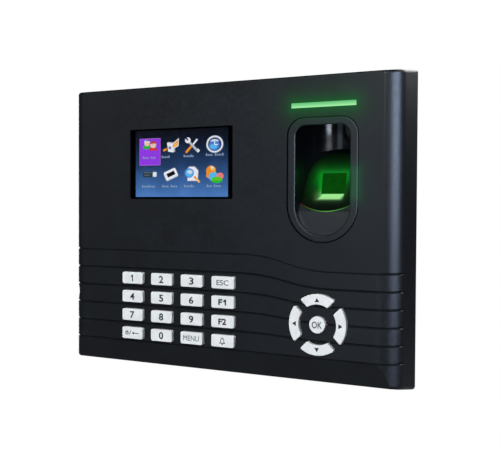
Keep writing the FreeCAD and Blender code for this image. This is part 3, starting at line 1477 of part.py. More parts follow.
# ---- the whole terminal -----------------------------------------------------------------------

STATIC_NODES = (
    "front_cover", "rear_cover", "wall_plate", "display_window", "display_mask",
    "display_panel", "display_tray", "display_ribbon", "finger_guide", "sensor_bezel",
    "sensor_prism", "sensor_housing", "sensor_lens", "sensor_lamps", "sensor_board",
    "sensor_cable", "light_bar", "light_lamps", "light_board", "keypad_mat", "nav_mat",
    "button_board", "board_link", "main_board", "board_chips", "relay", "cell_holder",
    "backup_cell", "tamper_switch", "tamper_plunger", "speaker", "ethernet_socket",
    "usb_socket", "power_socket", "terminal_blocks", "cover_screws", "board_screws",
    "lock_screw",
)


def make_everything():
    make_front_cover()
    make_rear_cover()
    make_wall_plate()
    make_display()
    make_finger_guide()
    make_sensor()
    make_light_bar()
    for row, names in enumerate(KEY_NAMES):
        for column, label in enumerate(names):
            make_key(label, column, row)
    for quarter, label in enumerate(NAV_NAMES):
        make_nav_key(label, quarter)
    make_ok_key()
    make_mats()
    make_board("button_board", "button_board_x", BUTTON_BOARD_DEPTH, "button_board_z",
               "button_board_width", "button_board_height", BUTTON_SCREW_PLACES)
    make_board("main_board", "main_board_x", "main_board_depth", "main_board_z",
               "main_board_width", "main_board_height", MAIN_SCREW_PLACES)
    make_sockets()
    make_board_parts()
    make_screws()
    make_cables()


def check_and_export(names):
    """Stop on any failed feature or faulty solid, then write one STEP file per node."""
    for item in doc.Objects:
        if "Invalid" in item.State or "Error" in item.State:
            raise RuntimeError(f"{item.Label}: failed feature")
    os.makedirs("parts", exist_ok=True)
    for name in names:
        shape = doc.getObjectsByLabel(name)[0].Shape
        if shape.isNull() or not shape.isValid() or not shape.Solids:
            raise RuntimeError(f"{name}: not a valid solid")
        shape.exportStep(f"parts/{name}.step")
        FreeCAD.Console.PrintMessage(f"{name}: {len(shape.Solids)} solid, "
                                     f"{shape.Volume:.1f} mm3\n")


make_everything()
doc.recompute()
key_nodes = [name for row in KEY_NAMES for name in row]
check_and_export(list(STATIC_NODES) + key_nodes + list(NAV_NAMES) + ["key_ok"])
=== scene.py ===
"""Looks for a wall-hung fingerprint terminal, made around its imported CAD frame.

Everything is in metres and in the row frame: +X right, +Z up, the front faces -Y, and the
origin is the middle of the wall plate's back. Places come from the CAD nodes' boxes.
"""
import json
import math

import bmesh
import bpy
from mathutils import Matrix, Vector


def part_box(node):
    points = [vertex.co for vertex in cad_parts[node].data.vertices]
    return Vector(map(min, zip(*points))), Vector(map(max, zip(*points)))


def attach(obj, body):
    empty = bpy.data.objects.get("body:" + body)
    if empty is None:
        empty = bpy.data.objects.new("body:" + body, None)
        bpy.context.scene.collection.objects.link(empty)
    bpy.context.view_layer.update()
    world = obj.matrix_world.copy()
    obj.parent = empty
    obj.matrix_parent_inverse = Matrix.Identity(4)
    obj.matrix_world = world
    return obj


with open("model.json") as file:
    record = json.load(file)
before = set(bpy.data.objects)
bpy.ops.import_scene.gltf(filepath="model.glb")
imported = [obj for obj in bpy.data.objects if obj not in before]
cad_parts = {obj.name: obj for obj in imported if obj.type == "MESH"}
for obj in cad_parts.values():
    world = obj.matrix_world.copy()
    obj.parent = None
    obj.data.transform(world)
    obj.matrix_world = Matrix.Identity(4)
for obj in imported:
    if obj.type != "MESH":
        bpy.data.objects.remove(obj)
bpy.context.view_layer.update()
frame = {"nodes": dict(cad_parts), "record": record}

MM = 0.001
ROOT = "terminal"
SENSOR_LEAN = 31  # degrees, the bezel's lean in the CAD
SLOT_OF_NODE = {part["node"]: part["material_slot"] for part in frame["record"]["subparts"]}


def picture_box():
    """The hole of the display mask: the corners of what lies inside its outline."""
    low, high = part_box("display_mask")
    border = 1 * MM
    inner = [v.co for v in frame["nodes"]["display_mask"].data.vertices
             if low.x + border < v.co.x < high.x - border
             and low.z + border < v.co.z < high.z - border]
    xs = [point.x for point in inner]
    zs = [point.z for point in inner]
    return min(xs), max(xs), min(zs), max(zs)


# ---- materials ---------------------------------------------------------------------------------

def linear(red, green, blue):
    """A colour in the usual 0 to 255 numbers, as Blender's linear ones."""
    def one(value):
        value /= 255
        return value / 12.92 if value <= 0.04045 else ((value + 0.055) / 1.055) ** 2.4
    return (one(red), one(green), one(blue), 1.0)


class Surface:
    """A material in the making: one Principled shader, driven by the object's coordinates."""

    def __init__(self, name, colour, roughness, **inputs):
        self.material = bpy.data.materials.new(name)
        self.material.use_nodes = True
        self.nodes = self.material.node_tree.nodes
        self.shader = self.nodes["Principled BSDF"]
        self.place = self.add("ShaderNodeTexCoord").outputs["Object"]
        self.shader.inputs["Base Color"].default_value = colour
        self.shader.inputs["Roughness"].default_value = roughness
        for name, value in inputs.items():
            self.shader.inputs[name.replace("_", " ")].default_value = value

    def add(self, kind, **settings):
        node = self.nodes.new(kind)
        for name, value in settings.items():
            setattr(node, name, value)
        return node

    def link(self, output, socket):
        self.material.node_tree.links.new(output, socket)

    def set(self, socket, value):
        """Feed a socket with another node's output or with a plain number."""
        if isinstance(value, bpy.types.NodeSocket):
            self.link(value, socket)
        else:
            socket.default_value = value

    def math(self, operation, first, second=0.0):
        node = self.add("ShaderNodeMath", operation=operation)
        self.set(node.inputs[0], first)
        self.set(node.inputs[1], second)
        return node.outputs[0]

    def vector(self, operation, first, second=(0, 0, 0)):
        node = self.add("ShaderNodeVectorMath", operation=operation)
        self.set(node.inputs[0], first)
        self.set(node.inputs[1], second)
        return node.outputs["Value"] if operation == "LENGTH" else node.outputs[0]

    def noise(self, grain, detail=2.0, stretch=(1, 1, 1)):
        """Noise whose features are about as large as grain, in metres."""
        scaled = self.vector("MULTIPLY", self.place, stretch)
        node = self.add("ShaderNodeTexNoise")
        self.link(scaled, node.inputs["Vector"])
        node.inputs["Scale"].default_value = 1 / grain
        node.inputs["Detail"].default_value = detail
        return node.outputs["Fac"]

    def spread(self, source, low, high, source_low=0.3, source_high=0.7):
        """Map a source's usual range, which is noise's by default, to low and high."""
        node = self.add("ShaderNodeMapRange")
        self.link(source, node.inputs["Value"])
        for name, value in (("From Min", source_low), ("From Max", source_high),
                            ("To Min", low), ("To Max", high)):
            node.inputs[name].default_value = value
        return node.outputs[0]

    def along(self, axis, low, high):
        """How far a point is from low to high along one axis, from 0 to 1."""
        split = self.add("ShaderNodeSeparateXYZ")
        self.link(self.place, split.inputs[0])
        return self.spread(split.outputs[axis], 0, 1, low, high)

    def ramp(self, source, stops):
        node = self.add("ShaderNodeValToRGB")
        band = node.color_ramp
        while len(band.elements) < len(stops):
            band.elements.new(0.5)
        for element, (position, colour) in zip(band.elements, stops):
            element.position = position
            element.color = colour
        self.link(source, node.inputs["Fac"])
        return node.outputs["Color"]

    def mottle(self, first, second, grain, stretch=(1, 1, 1)):
        """Vary the colour between two close ones."""
        colour = self.ramp(self.noise(grain, 3, stretch), [(0.35, first), (0.65, second)])
        self.link(colour, self.shader.inputs["Base Color"])

    def uneven(self, low, high, grain, stretch=(1, 1, 1)):
        """Vary the roughness."""
        source = self.spread(self.noise(grain, 2, stretch), low, high)
        self.link(source, self.shader.inputs["Roughness"])

    def bump(self, height, grain, detail=2.0, stretch=(1, 1, 1)):
        node = self.add("ShaderNodeBump")
        node.inputs["Strength"].default_value = 1
        node.inputs["Distance"].default_value = height
        self.link(self.noise(grain, detail, stretch), node.inputs["Height"])
        self.link(node.outputs[0], self.shader.inputs["Normal"])

    def emit(self, colour, strength=1.0):
        self.link(colour, self.shader.inputs["Emission Color"])
        self.shader.inputs["Emission Strength"].default_value = strength

    def near(self, centre, half, reach):
        """1 inside a box, and less outside it, by a factor e for each reach."""
        off = self.vector("ABSOLUTE", self.vector("SUBTRACT", self.place, centre))
        beyond = self.vector("MAXIMUM", self.vector("SUBTRACT", off, half))
        return self.math("EXPONENT", self.math("DIVIDE", self.vector("LENGTH", beyond), -reach))

    def glow(self, spots, fade=0.0):
        """Paint light round some spots, as emission, on a surface that is no lamp. The room's
        reflection fades by the share fade where the first spot's painted light is full."""
        total = None
        shares = [self.near(*box) for *box, colour in spots]
        for share, (*box, colour) in zip(shares, spots):
            lit = self.add("ShaderNodeVectorMath", operation="SCALE")
            lit.inputs[0].default_value = colour
            self.link(share, lit.inputs["Scale"])
            total = lit.outputs[0] if total is None else self.vector("ADD", total, lit.outputs[0])
        self.emit(total)
        if fade > 0:
            level = self.shader.inputs["Specular IOR Level"]
            kept = self.math("SUBTRACT", 1.0, self.math("MULTIPLY", shares[0], fade))
            self.link(self.math("MULTIPLY", kept, level.default_value), level)


def spot(centre, half, reach, colour):
    """A patch of painted light: its middle, the half size of the box where it is full and its
    reach beyond that box, both in millimetres, and its linear colour."""
    return centre, Vector(half) * MM, reach * MM, colour


CHARCOAL = linear(12, 13, 16)
WHITE = linear(232, 234, 236)
UNLIT = (0.001, 0.002, 0.001, 1)


def casing_plastic(name, spots=()):
    """Charcoal moulded plastic with a fine spark-eroded grain, and painted light, as emission,
    round any spots given.
    """
    surface = Surface(name, CHARCOAL, 0.4, Specular_IOR_Level=0.3)
    surface.mottle(CHARCOAL, linear(16, 18, 21), 14 * MM)
    surface.uneven(0.35, 0.44, 1.5 * MM)
    surface.bump(0.012 * MM, 0.35 * MM, 3)
    # painted light round the given spots, as emission on the plastic
    if spots:
        surface.glow(spots, 0.75)
    return surface.material


def painted_bar_glow():
    """Painted light: the bar's green halo, painted on the cover round it as emission."""
    low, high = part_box("light_bar")
    half = (high - low) / MM / 2
    return [spot((low + high) / 2, (half.x - 2, 20, half.z - 1.2), 3.2, (0.001, 0.10, 0.012))]


def painted_sensor_glow():
    """Painted light: the prism's green light painted on the bezel and the recess, with a brighter
    pale-green strip on the ledge below the prism.
    """
    low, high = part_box("sensor_prism")
    centre = (low + high) / 2
    # the ledge below the prism gets a painted pale-green strip of light
    ledge = Vector((centre.x, low.y - 2 * MM, low.z - 0.3 * MM))
    return [spot(centre, (6.5, 3, 4.8), 2.1, (0.002, 0.25, 0.014)),
            spot(ledge, (5, 3, 0.9), 0.8, (0.34, 0.72, 0.28))]


def painted_recess_glow():
    """Painted light: the sensor's green light painted on the ring, most on its right side, which
    faces the prism.
    """
    low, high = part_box("sensor_prism")
    centre = (low + high) / 2 + Vector((0, -6, -2)) * MM
    ring_low, ring_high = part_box("finger_guide")
    beside = Vector((ring_high.x - 3.5 * MM, ring_low.y, centre.z + 2 * MM))
    return [spot(centre, (5, 4, 4), 3.5, (0.0, 0.025, 0.004)),
            spot(beside, (1, 1, 6), 2.2, (0.0, 0.05, 0.012))]


def painted_lit_edge():
    """The bezel's lower bevel, with the prism's light along its rim painted on as emission."""
    surface = Surface("painted_lit_edge", UNLIT, 0.3, Specular_IOR_Level=0.1)
    low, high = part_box("sensor_bezel")
    stops = [(0.05, linear(60, 20, 10)), (0.25, linear(55, 100, 30)), (0.6, linear(85, 165, 70)),
             (0.95, linear(20, 70, 20))]
    surface.emit(surface.ramp(surface.along("X", low.x, high.x), stops))
    return surface.material


def glossy_bezel():
    """Dark and smooth, with the prism's light painted on as emission: the bezel sloping round it.
    """
    surface = Surface("bezel_plastic", UNLIT, 0.3, Specular_IOR_Level=0.1)
    surface.uneven(0.24, 0.34, 4 * MM)
    surface.glow(painted_sensor_glow())
    return surface.material


def key_plastic():
    """White satin plastic that lets a little light in."""
    surface = Surface("key_plastic", WHITE, 0.35, Specular_IOR_Level=0.45,
                      Subsurface_Weight=0.08, Subsurface_Scale=0.001)
    surface.mottle(linear(225, 222, 218), linear(234, 231, 227), 5 * MM)
    surface.uneven(0.32, 0.42, 2 * MM)
    surface.bump(0.006 * MM, 0.5 * MM)
    return surface.material


def lit_bar():
    """Milky green plastic, brightest towards its lower edge."""
    surface = Surface("lit_bar", linear(30, 70, 35), 0.35, Specular_IOR_Level=0.3)
    low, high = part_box("light_bar")
    stops = [(0.2, linear(165, 238, 165)), (0.5, linear(122, 202, 134)),
             (0.85, linear(70, 165, 90))]
    surface.emit(surface.ramp(surface.along("Z", low.z, high.z), stops))
    surface.bump(0.02 * MM, 1.5 * MM)
    return surface.material


def lit_prism():
    """The sensor's glass, an even deep green."""
    surface = Surface("lit_prism", linear(0, 12, 1), 0.5, Specular_IOR_Level=0.02)
    stops = [(0.3, linear(0, 60, 0)), (0.7, linear(0, 70, 2))]
    surface.emit(surface.ramp(surface.noise(3 * MM), stops))
    return surface.material


def clear_window():
    """The display's thin clear window, with a weak reflection."""
    surface = Surface("clear_window", (0.97, 0.98, 1, 1), 0.02, IOR=1.16,
                      Transmission_Weight=1.0)
    surface.uneven(0.01, 0.05, 12 * MM)
    return surface.material


def lit_screen():
    """A dark blue sky that lightens downwards, with faint cloudy wisps."""
    bottom, top = picture_box()[2:]
    surface = Surface("lit_screen", (0.002, 0.002, 0.004, 1), 0.35, Specular_IOR_Level=0.03)
    wisps = surface.spread(surface.noise(7 * MM, 4, (1, 1, 0.6)), -0.05, 0.06)
    rise = surface.along("Z", bottom, top)
    stops = [(0.0, linear(80, 130, 198)), (0.2, linear(62, 106, 166)),
             (0.5, linear(34, 62, 102)), (0.8, linear(14, 26, 46)), (1.0, linear(8, 10, 16))]
    surface.emit(surface.ramp(surface.math("ADD", rise, wisps), stops), 0.85)
    return surface.material


def circuit_board():
    """Green lacquer over a faint relief of tracks."""
    surface = Surface("circuit_board", linear(10, 70, 34), 0.3, Coat_Weight=0.4)
    surface.mottle(linear(9, 62, 30), linear(16, 86, 44), 1.2 * MM, (1, 1, 6))
    surface.bump(0.03 * MM, 0.8 * MM, 2, (1, 1, 5))
    return surface.material


def brushed(name, first, second, roughness=0.32):
    """Metal with fine horizontal scratches, between two colours."""
    surface = Surface(name, first, roughness, Metallic=1.0)
    surface.mottle(first, second, 3 * MM, (1, 1, 14))
    surface.uneven(roughness - 0.07, roughness + 0.1, 0.6 * MM, (1, 1, 20))
    surface.bump(0.004 * MM, 0.3 * MM, 2, (1, 1, 20))
    return surface.material


def moulded(name, first, second, roughness, grain=0.5 * MM, height=0.01 * MM, **inputs):
    """Plastic, rubber or paint with a fine grain, between two colours."""
    surface = Surface(name, first, roughness, **inputs)
    surface.mottle(first, second, 6 * MM)
    surface.uneven(roughness - 0.05, roughness + 0.07, 2 * MM)
    surface.bump(height, grain, 3)
    return surface.material


def glowing(name, colour, strength=1.0):
    """A lit colour of the screen's picture, with the faint grain of the dots."""
    surface = Surface(name, (0.002, 0.002, 0.002, 1), 0.35, Specular_IOR_Level=0.03)
    dim = tuple(value * 0.86 for value in colour[:3]) + (1,)
    surface.emit(surface.ramp(surface.noise(0.9 * MM, 1), [(0.3, dim), (0.7, colour)]), strength)
    return surface.material


def make_materials():
    """The finish of each material slot in the record."""
    return {
        "casing": casing_plastic("casing_plastic"),
        "steel": moulded("powder_coat", linear(40, 41, 44), linear(48, 49, 52), 0.55,
                         0.6 * MM, 0.05 * MM),
        "window": clear_window(),
        "black": moulded("matte_black", linear(12, 12, 13), linear(17, 17, 19), 0.6),
        "screen": lit_screen(),
        "tray": brushed("stamped_sheet", linear(190, 190, 192), linear(205, 205, 208)),
        "ribbon": moulded("amber_film", linear(190, 120, 40), linear(205, 138, 55), 0.3),
        "cable": moulded("cable_jacket", linear(22, 22, 24), linear(30, 30, 32), 0.5),
        "prism": lit_prism(),
        "lamp": glowing("lamp", linear(120, 240, 130), 1.5),
        "board": circuit_board(),
        "diffuser": lit_bar(),
        "rubber": moulded("silicone", linear(150, 152, 154), linear(165, 167, 170), 0.6),
        "connector": moulded("connector_black", linear(20, 20, 22), linear(28, 28, 30), 0.4),
        "chip": moulded("chip_epoxy", linear(24, 24, 26), linear(32, 32, 35), 0.5),
        "cell": brushed("cell_steel", linear(205, 205, 205), linear(150, 150, 150)),
        "plunger": moulded("plunger_white", linear(205, 205, 200), linear(220, 220, 215), 0.4),
        "jack": brushed("plated_shell", linear(195, 195, 193), linear(170, 170, 168)),
        "terminal": moulded("terminal_green", linear(24, 105, 52), linear(32, 122, 62), 0.4),
        "screw": brushed("zinc_plate", linear(190, 192, 196), linear(160, 162, 168)),
        "key": key_plastic(),
    }


def recess_gloss():
    """Glossy black walls of the finger recess, with the sensor's green light painted on as
    emission.
    """
    surface = Surface("recess_gloss", (0.002, 0.002, 0.003, 1), 0.16, Specular_IOR_Level=0.4)
    surface.uneven(0.12, 0.2, 6 * MM)
    surface.glow(painted_recess_glow())
    return surface.material


RING_DEPTH = 1.3 * MM  # how far the ring stands out in front of the recess's walls
RING_RIGHT_SIDE = 3 * MM  # the right side of the ring, which stays in the casing's plastic
RAMP_DEPTH = 5.5 * MM  # from the ring's front to the deepest part of the ramp


def in_recess(face, low, high):
    """Whether a face of the finger guide is a wall of its recess, behind the ring and ramp."""
    centre = face.center
    on_ramp = face.normal.y < -0.8 and centre.y < low.y + RAMP_DEPTH
    behind_ring = centre.y > low.y + RING_DEPTH
    return centre.x < high.x - RING_RIGHT_SIDE and behind_ring and not on_ramp


def on_lower_bevel(face):
    """Whether a face of the bezel is its bevel, where that points down the slope."""
    lean = math.radians(SENSOR_LEAN)
    out = Vector((0, -math.cos(lean), math.sin(lean)))
    down = Vector((0, -math.sin(lean), -math.cos(lean)))
    below_prism = face.center.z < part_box("sensor_prism")[0].z - 3 * MM
    return below_prism and face.normal.dot(out) > 0.5 and face.normal.dot(down) > 0.4


def add_second_material(node, material, wanted):
    """Give another material to those faces of a CAD node for which wanted is true."""
    mesh = frame["nodes"][node].data
    mesh.materials.append(material)
    for face in mesh.polygons:
        if wanted(face):
            face.material_index = 1


def give_materials(finishes):
    for node, item in frame["nodes"].items():
        item.data.materials.clear()
        item.data.materials.append(finishes[SLOT_OF_NODE[node]])
    # The cover, the guide and the bezel carry painted green light round the bar and the sensor, as
    # emission.
    special = {
        "front_cover": casing_plastic("cover_plastic", painted_bar_glow() + painted_recess_glow()[1:]),
        "finger_guide": casing_plastic("guide_plastic", painted_bar_glow() + painted_recess_glow()),
        "sensor_bezel": glossy_bezel(),
    }
    for node, material in special.items():
        frame["nodes"][node].data.materials[0] = material
    low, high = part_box("finger_guide")
    add_second_material("finger_guide", recess_gloss(), lambda face: in_recess(face, low, high))
    # The bezel's lower bevel gets a painted strip of the prism's light.
    add_second_material("sensor_bezel", painted_lit_edge(), on_lower_bevel)


# ---- flat shapes: outlines are lists of (x, z) in millimetres -----------------------------------

def disc(radius, x=0.0, z=0.0, squeeze=1.0, start=0, stop=360, steps=28):
    """A disc, or the segment between two angles, with its height times squeeze."""
    whole = stop - start == 360
    count = steps if whole else steps + 1
    angles = [math.radians(start + (stop - start) * index / steps) for index in range(count)]
    return [(x + radius * math.cos(a), z + radius * squeeze * math.sin(a)) for a in angles]


def turned(points, angle, x=0.0, z=0.0):
    """An outline turned by an angle, then moved."""
    c, s = math.cos(math.radians(angle)), math.sin(math.radians(angle))
    return [(x + c * px - s * pz, z + s * px + c * pz) for px, pz in points]


def block(width, height, x=0.0, z=0.0, angle=0.0, radius=0.0):
    """A rectangle about (x, z), turned by angle, with rounded corners if radius is given."""
    w, h = width / 2, height / 2
    if radius <= 0:
        points = [(-w, -h), (w, -h), (w, h), (-w, h)]
    else:
        corners = ((w, h, 0), (-w, h, 90), (-w, -h, 180), (w, -h, 270))
        points = []
        for cx, cz, start in corners:
            inset_x = cx - math.copysign(radius, cx)
            inset_z = cz - math.copysign(radius, cz)
            points += disc(radius, inset_x, inset_z, 1, start, start + 90, 5)
    return turned(points, angle, x, z)


def stroke(points, width):
    """A pen line through the points: a bar for each stretch and a dot at each point."""
    shapes = [disc(width / 2, x, z, steps=10) for x, z in points]
    for (ax, az), (bx, bz) in zip(points, points[1:]):
        length = math.hypot(bx - ax, bz - az)
        angle = math.degrees(math.atan2(bz - az, bx - ax))
        shapes.append(block(length, width, (ax + bx) / 2, (az + bz) / 2, angle))
    return shapes


class Relief:
    """Flat shapes on a plane, each a closed plate, in one object. The plane faces -Y, or +Y
    where out is 1."""

    def __init__(self, x, y, z, out=-1):
        self.origin = Vector((x, y, z))
        self.out = out
        self.shape = bmesh.new()
        self.materials = []

    def plate(self, points, material, thickness, x=0.0, z=0.0):
        """A closed plate: its back lies on the plane and its front stands out by thickness."""
        if material not in self.materials:
            self.materials.append(material)
        rise = Vector((0, self.out * thickness * MM, 0))
        backs, fronts = [], []
        for px, pz in points:
            place = self.origin + Vector(((px + x) * MM, 0, (pz + z) * MM))
            backs.append(self.shape.verts.new(place))
            fronts.append(self.shape.verts.new(place + rise))
        faces = [self.shape.faces.new(fronts), self.shape.faces.new(list(reversed(backs)))]
        for index in range(len(points)):
            after = (index + 1) % len(points)
            side = [backs[index], backs[after], fronts[after], fronts[index]]
            faces.append(self.shape.faces.new(side))
        for face in faces:
            face.material_index = self.materials.index(material)

    def finish(self, name, body, slot):
        bmesh.ops.recalc_face_normals(self.shape, faces=self.shape.faces)
        mesh = bpy.data.meshes.new(name)
        self.shape.to_mesh(mesh)
        self.shape.free()
        for material in self.materials:
            mesh.materials.append(material)
        item = bpy.data.objects.new(name, mesh)
        bpy.context.scene.collection.objects.link(item)
        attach(item, body)


# ---- key legends --------------------------------------------------------------------------------

PRINT = 0.03  # millimetres, how far print stands out
DIGIT_HEIGHT, WORD_HEIGHT, FUNCTION_HEIGHT = 3.6, 2.6, 3.0
ONE_PEN, FUNCTION_PEN = 0.62, 0.75


def key_face(node):
    """The middle of a key's front face."""
    low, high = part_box(node)
    return Vector(((low.x + high.x) / 2, low.y, (low.z + high.z) / 2))


def text_legend(name, node, words, height, width, material, weight=0.0):
    """Printed words on a key, scaled to a height and width in millimetres. Weight thickens the
    letters, as a share of the font's size."""
    curve = bpy.data.curves.new(name, "FONT")
    curve.body = words
    curve.extrude = 0.5
    curve.offset = weight
    curve.resolution_u = 3
    maker = bpy.data.objects.new(name, curve)
    bpy.context.scene.collection.objects.link(maker)
    bpy.context.view_layer.update()
    mesh = bpy.data.meshes.new_from_object(maker.evaluated_get(
        bpy.context.evaluated_depsgraph_get()))
    bpy.data.objects.remove(maker)
    xs = [v.co.x for v in mesh.vertices]
    ys = [v.co.y for v in mesh.vertices]
    across, up = max(xs) - min(xs), max(ys) - min(ys)
    centre = Vector(((max(xs) + min(xs)) / 2, (max(ys) + min(ys)) / 2, 0))
    face = key_face(node)
    for vertex in mesh.vertices:
        local = vertex.co - centre
        out = PRINT * MM * (local.z + 0.5)
        vertex.co = face + Vector((local.x / across * width * MM, -out,
                                   local.y / up * height * MM))
    mesh.materials.clear()
    mesh.materials.append(material)
    clean = bmesh.new()
    clean.from_mesh(mesh)
    bmesh.ops.remove_doubles(clean, verts=clean.verts, dist=0.002 * MM)
    clean.to_mesh(mesh)
    clean.free()
    item = bpy.data.objects.new(name, mesh)
    bpy.context.scene.collection.objects.link(item)
    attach(item, node + "_body")


def drawn_legend(name, node, shapes, material):
    """A legend of flat shapes about the middle of a key."""
    relief = Relief(*key_face(node))
    for shape in shapes:
        relief.plate(shape, material, PRINT)
    relief.finish(name, node + "_body", "black")


def bell_shapes():
    """A bell in outline: a dome on a flared skirt, a loop on top and a clapper below."""
    dome = disc(0.85, 0, 0.35, 1.1, 0, 180, 10)
    outline = [(1.45, -1.0), (0.95, -0.55)] + dome + [(-0.95, -0.55), (-1.45, -1.0)]
    return stroke(outline + outline[:1], 0.36) + [disc(0.28, 0, 1.55), disc(0.36, 0, -1.5)]


def power_shapes():
    """A small power mark, a slash and an arrow to the left."""
    ring = stroke(disc(0.8, -3.3, 0, 1, 120, 420, 14), 0.4)
    mark = stroke([(-3.3, 0.1), (-3.3, 1.1)], 0.4)
    slash = stroke([(-1.8, -1.0), (-0.9, 1.0)], 0.3)
    arrow = stroke([(3.8, 0), (0.3, 0)], 0.36) + [[(-0.2, 0), (1.1, -0.8), (1.1, 0.8)]]
    return ring + mark + slash + arrow


def one_shapes(height, weight, x=0.0):
    """The digit 1 with its flag, drawn with a pen as wide as weight."""
    top = (height - weight) / 2
    return stroke([(x - 0.7, top - 0.75), (x + 0.15, top), (x + 0.15, -top)], weight)


def letter_f_shapes(height, weight, x=0.0):
    """The letter F, drawn in the same way."""
    top = (height - weight) / 2
    stem = stroke([(x - 0.8, -top), (x - 0.8, top), (x + 0.8, top)], weight)
    return stem + stroke([(x - 0.8, 0), (x + 0.55, 0)], weight)


def make_legends():
    ink = moulded("legend_ink", linear(34, 36, 42), linear(42, 44, 50), 0.5,
                  Specular_IOR_Level=0.2)
    pale_ink = moulded("pale_ink", linear(56, 58, 66), linear(66, 68, 76), 0.5,
                       Specular_IOR_Level=0.2)
    for digit in "234567890":
        text_legend("legend_" + digit, "key_" + digit, digit, DIGIT_HEIGHT, 2.6, ink, 0.022)
    text_legend("legend_escape", "key_escape", "ESC", WORD_HEIGHT, 6.6, pale_ink, 0.008)
    text_legend("legend_menu", "key_menu", "MENU", WORD_HEIGHT, 8.9, pale_ink)
    text_legend("legend_f2", "key_f2", "F2", FUNCTION_HEIGHT, 4.4, ink, 0.034)
    text_legend("legend_ok", "key_ok", "OK", 3.1, 5.0, ink, 0.01)
    drawn_legend("legend_1", "key_1", one_shapes(DIGIT_HEIGHT, ONE_PEN), ink)
    f_and_one = (letter_f_shapes(FUNCTION_HEIGHT, FUNCTION_PEN, -1.1)
                 + one_shapes(FUNCTION_HEIGHT, FUNCTION_PEN, 1.5))
    drawn_legend("legend_f1", "key_f1", f_and_one, ink)
    drawn_legend("legend_power", "key_power", power_shapes(), ink)
    drawn_legend("legend_bell", "key_bell", bell_shapes(), ink)
    triangle = [(1.15, 0), (-0.8, 1.15), (-0.8, -1.15)]
    for node, angle in (("key_right", 0), ("key_up", 90), ("key_left", 180), ("key_down", 270)):
        drawn_legend("arrow_" + node, node, [turned(triangle, angle)], ink)


# ---- screw heads --------------------------------------------------------------------------------

HEAD_RADIUS = 2.75 * MM  # of a cover screw in the CAD
CROSS_LENGTH, CROSS_WIDTH = 2.9, 0.6


def make_screw_crosses():
    """The cross recess of each cover screw, as painted shade: a dark shape on its head at the
    back.
    """
    # painted shade standing in for the hollow of each cross recess
    dark = moulded("painted_cross_shade", linear(16, 16, 17), linear(24, 24, 25), 0.5)
    low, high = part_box("cover_screws")
    relief = Relief(0, high.y, 0, out=1)
    for x in (low.x + HEAD_RADIUS, high.x - HEAD_RADIUS):
        for z in (low.z + HEAD_RADIUS, high.z - HEAD_RADIUS):
            angle = 20 + 31 * (x > 0) + 17 * (z > 0)  # no two screws stop at the same angle
            for quarter in (0, 90):
                bar = block(CROSS_LENGTH, CROSS_WIDTH, x / MM, z / MM, angle + quarter, 0.2)
                relief.plate(bar, dark, PRINT)
    relief.finish("screw_crosses", ROOT, "screw")


# ---- the picture on the screen ------------------------------------------------------------------

LAYER = 0.012  # millimetres, how far each shape stands in front of the last


def screen_colours():
    names = {
        "purple": (150, 60, 235), "tile_edge": (205, 120, 245), "skin": (240, 205, 180),
        "hat": (235, 235, 245), "navy": (45, 55, 110), "red": (215, 55, 60),
        "cap": (190, 70, 50), "green": (40, 190, 60), "leaf": (95, 205, 40),
        "white": (240, 242, 248), "silver": (190, 196, 208), "shade": (120, 130, 150),
        "orange": (245, 150, 35), "amber": (255, 195, 95), "blue": (70, 130, 215),
        "sky": (90, 190, 245), "deep": (28, 52, 110), "black": (12, 13, 18),
        "board": (38, 62, 62), "pink": (240, 130, 125), "pale": (215, 228, 245),
        "caption": (142, 164, 194),
    }
    return {name: glowing("screen_" + name, linear(*rgb), 0.95) for name, rgb in names.items()}


class Picture(Relief):
    """The screen's menu. Every shape added lies one thin layer in front of the last."""

    def __init__(self, colours):
        self.left, self.right, self.bottom, self.top = picture_box()
        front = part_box("display_panel")[0].y
        super().__init__(self.left, front, self.top)
        self.colours = colours
        self.width = (self.right - self.left) / MM
        self.height = (self.top - self.bottom) / MM
        self.at = (0.0, 0.0)
        self.layer = 1

    def begin(self, across, down):
        """Start an icon: its middle as shares of the picture's width and height."""
        self.at = (across * self.width, -down * self.height)
        self.layer = 1

    def plain(self, colour, *outlines):
        for outline in outlines:
            self.plate(outline, self.colours[colour], self.layer * LAYER, *self.at)
        self.layer += 1

    def draw(self, colour, *outlines):
        """Outlines as the panel shows them, which is a little wide and low."""
        self.plain(colour, *([(x * 1.08, z * 0.95) for x, z in outline] for outline in outlines))


def draw_people(art):
    art.begin(0.16, 0.32)
    art.plain("tile_edge", block(12.7, 13.6))
    art.plain("purple", block(12.3, 13.2))
    art.begin(0.155, 0.215)
    art.layer = 3
    art.draw("green", disc(2.2, -1.6, -1.9, 1, 0, 180), disc(1.0, -1.6, -1.9, 0.4, 180, 360))
    art.draw("skin", disc(1.5, -1.4, 0.9))
    art.draw("hat", disc(1.7, -1.4, 1.4, 0.8, 0, 180))
    art.draw("navy", block(2.6, 0.5, -0.8, 2.4, 8))
    art.draw("red", disc(2.3, 2.1, -3.1, 1, 0, 180))
    art.draw("skin", disc(1.7, 2.1, 0.0))
    art.draw("cap", disc(1.8, 2.1, 0.5, 0.9, 10, 180))


def draw_megaphone(art):
    art.begin(0.392, 0.25)
    art.draw("silver", turned([(-1.4, -2.6), (1.8, -3.2), (2.2, 1.6), (-1.0, 2.8)], 12))
    art.draw("white", turned([(-2.0, -2.2), (0.9, -3.4), (1.5, 1.2), (-1.6, 2.6)], 12))
    art.draw("shade", disc(0.8, -0.5, -0.6))
    art.draw("white", [(0.6, -1.6), (4.2, 0.2), (4.4, 4.4), (0.9, 1.6)])
    art.draw("orange", [(1.0, -0.8), (3.8, 0.5), (4.0, 3.6), (1.2, 1.2)])
    art.draw("amber", [(1.2, -0.2), (3.4, 0.8), (3.6, 2.3), (1.4, 0.8)])
    art.draw("orange", turned(block(2.2, 1.1, radius=0.4), 30, -3.2, -1.6))


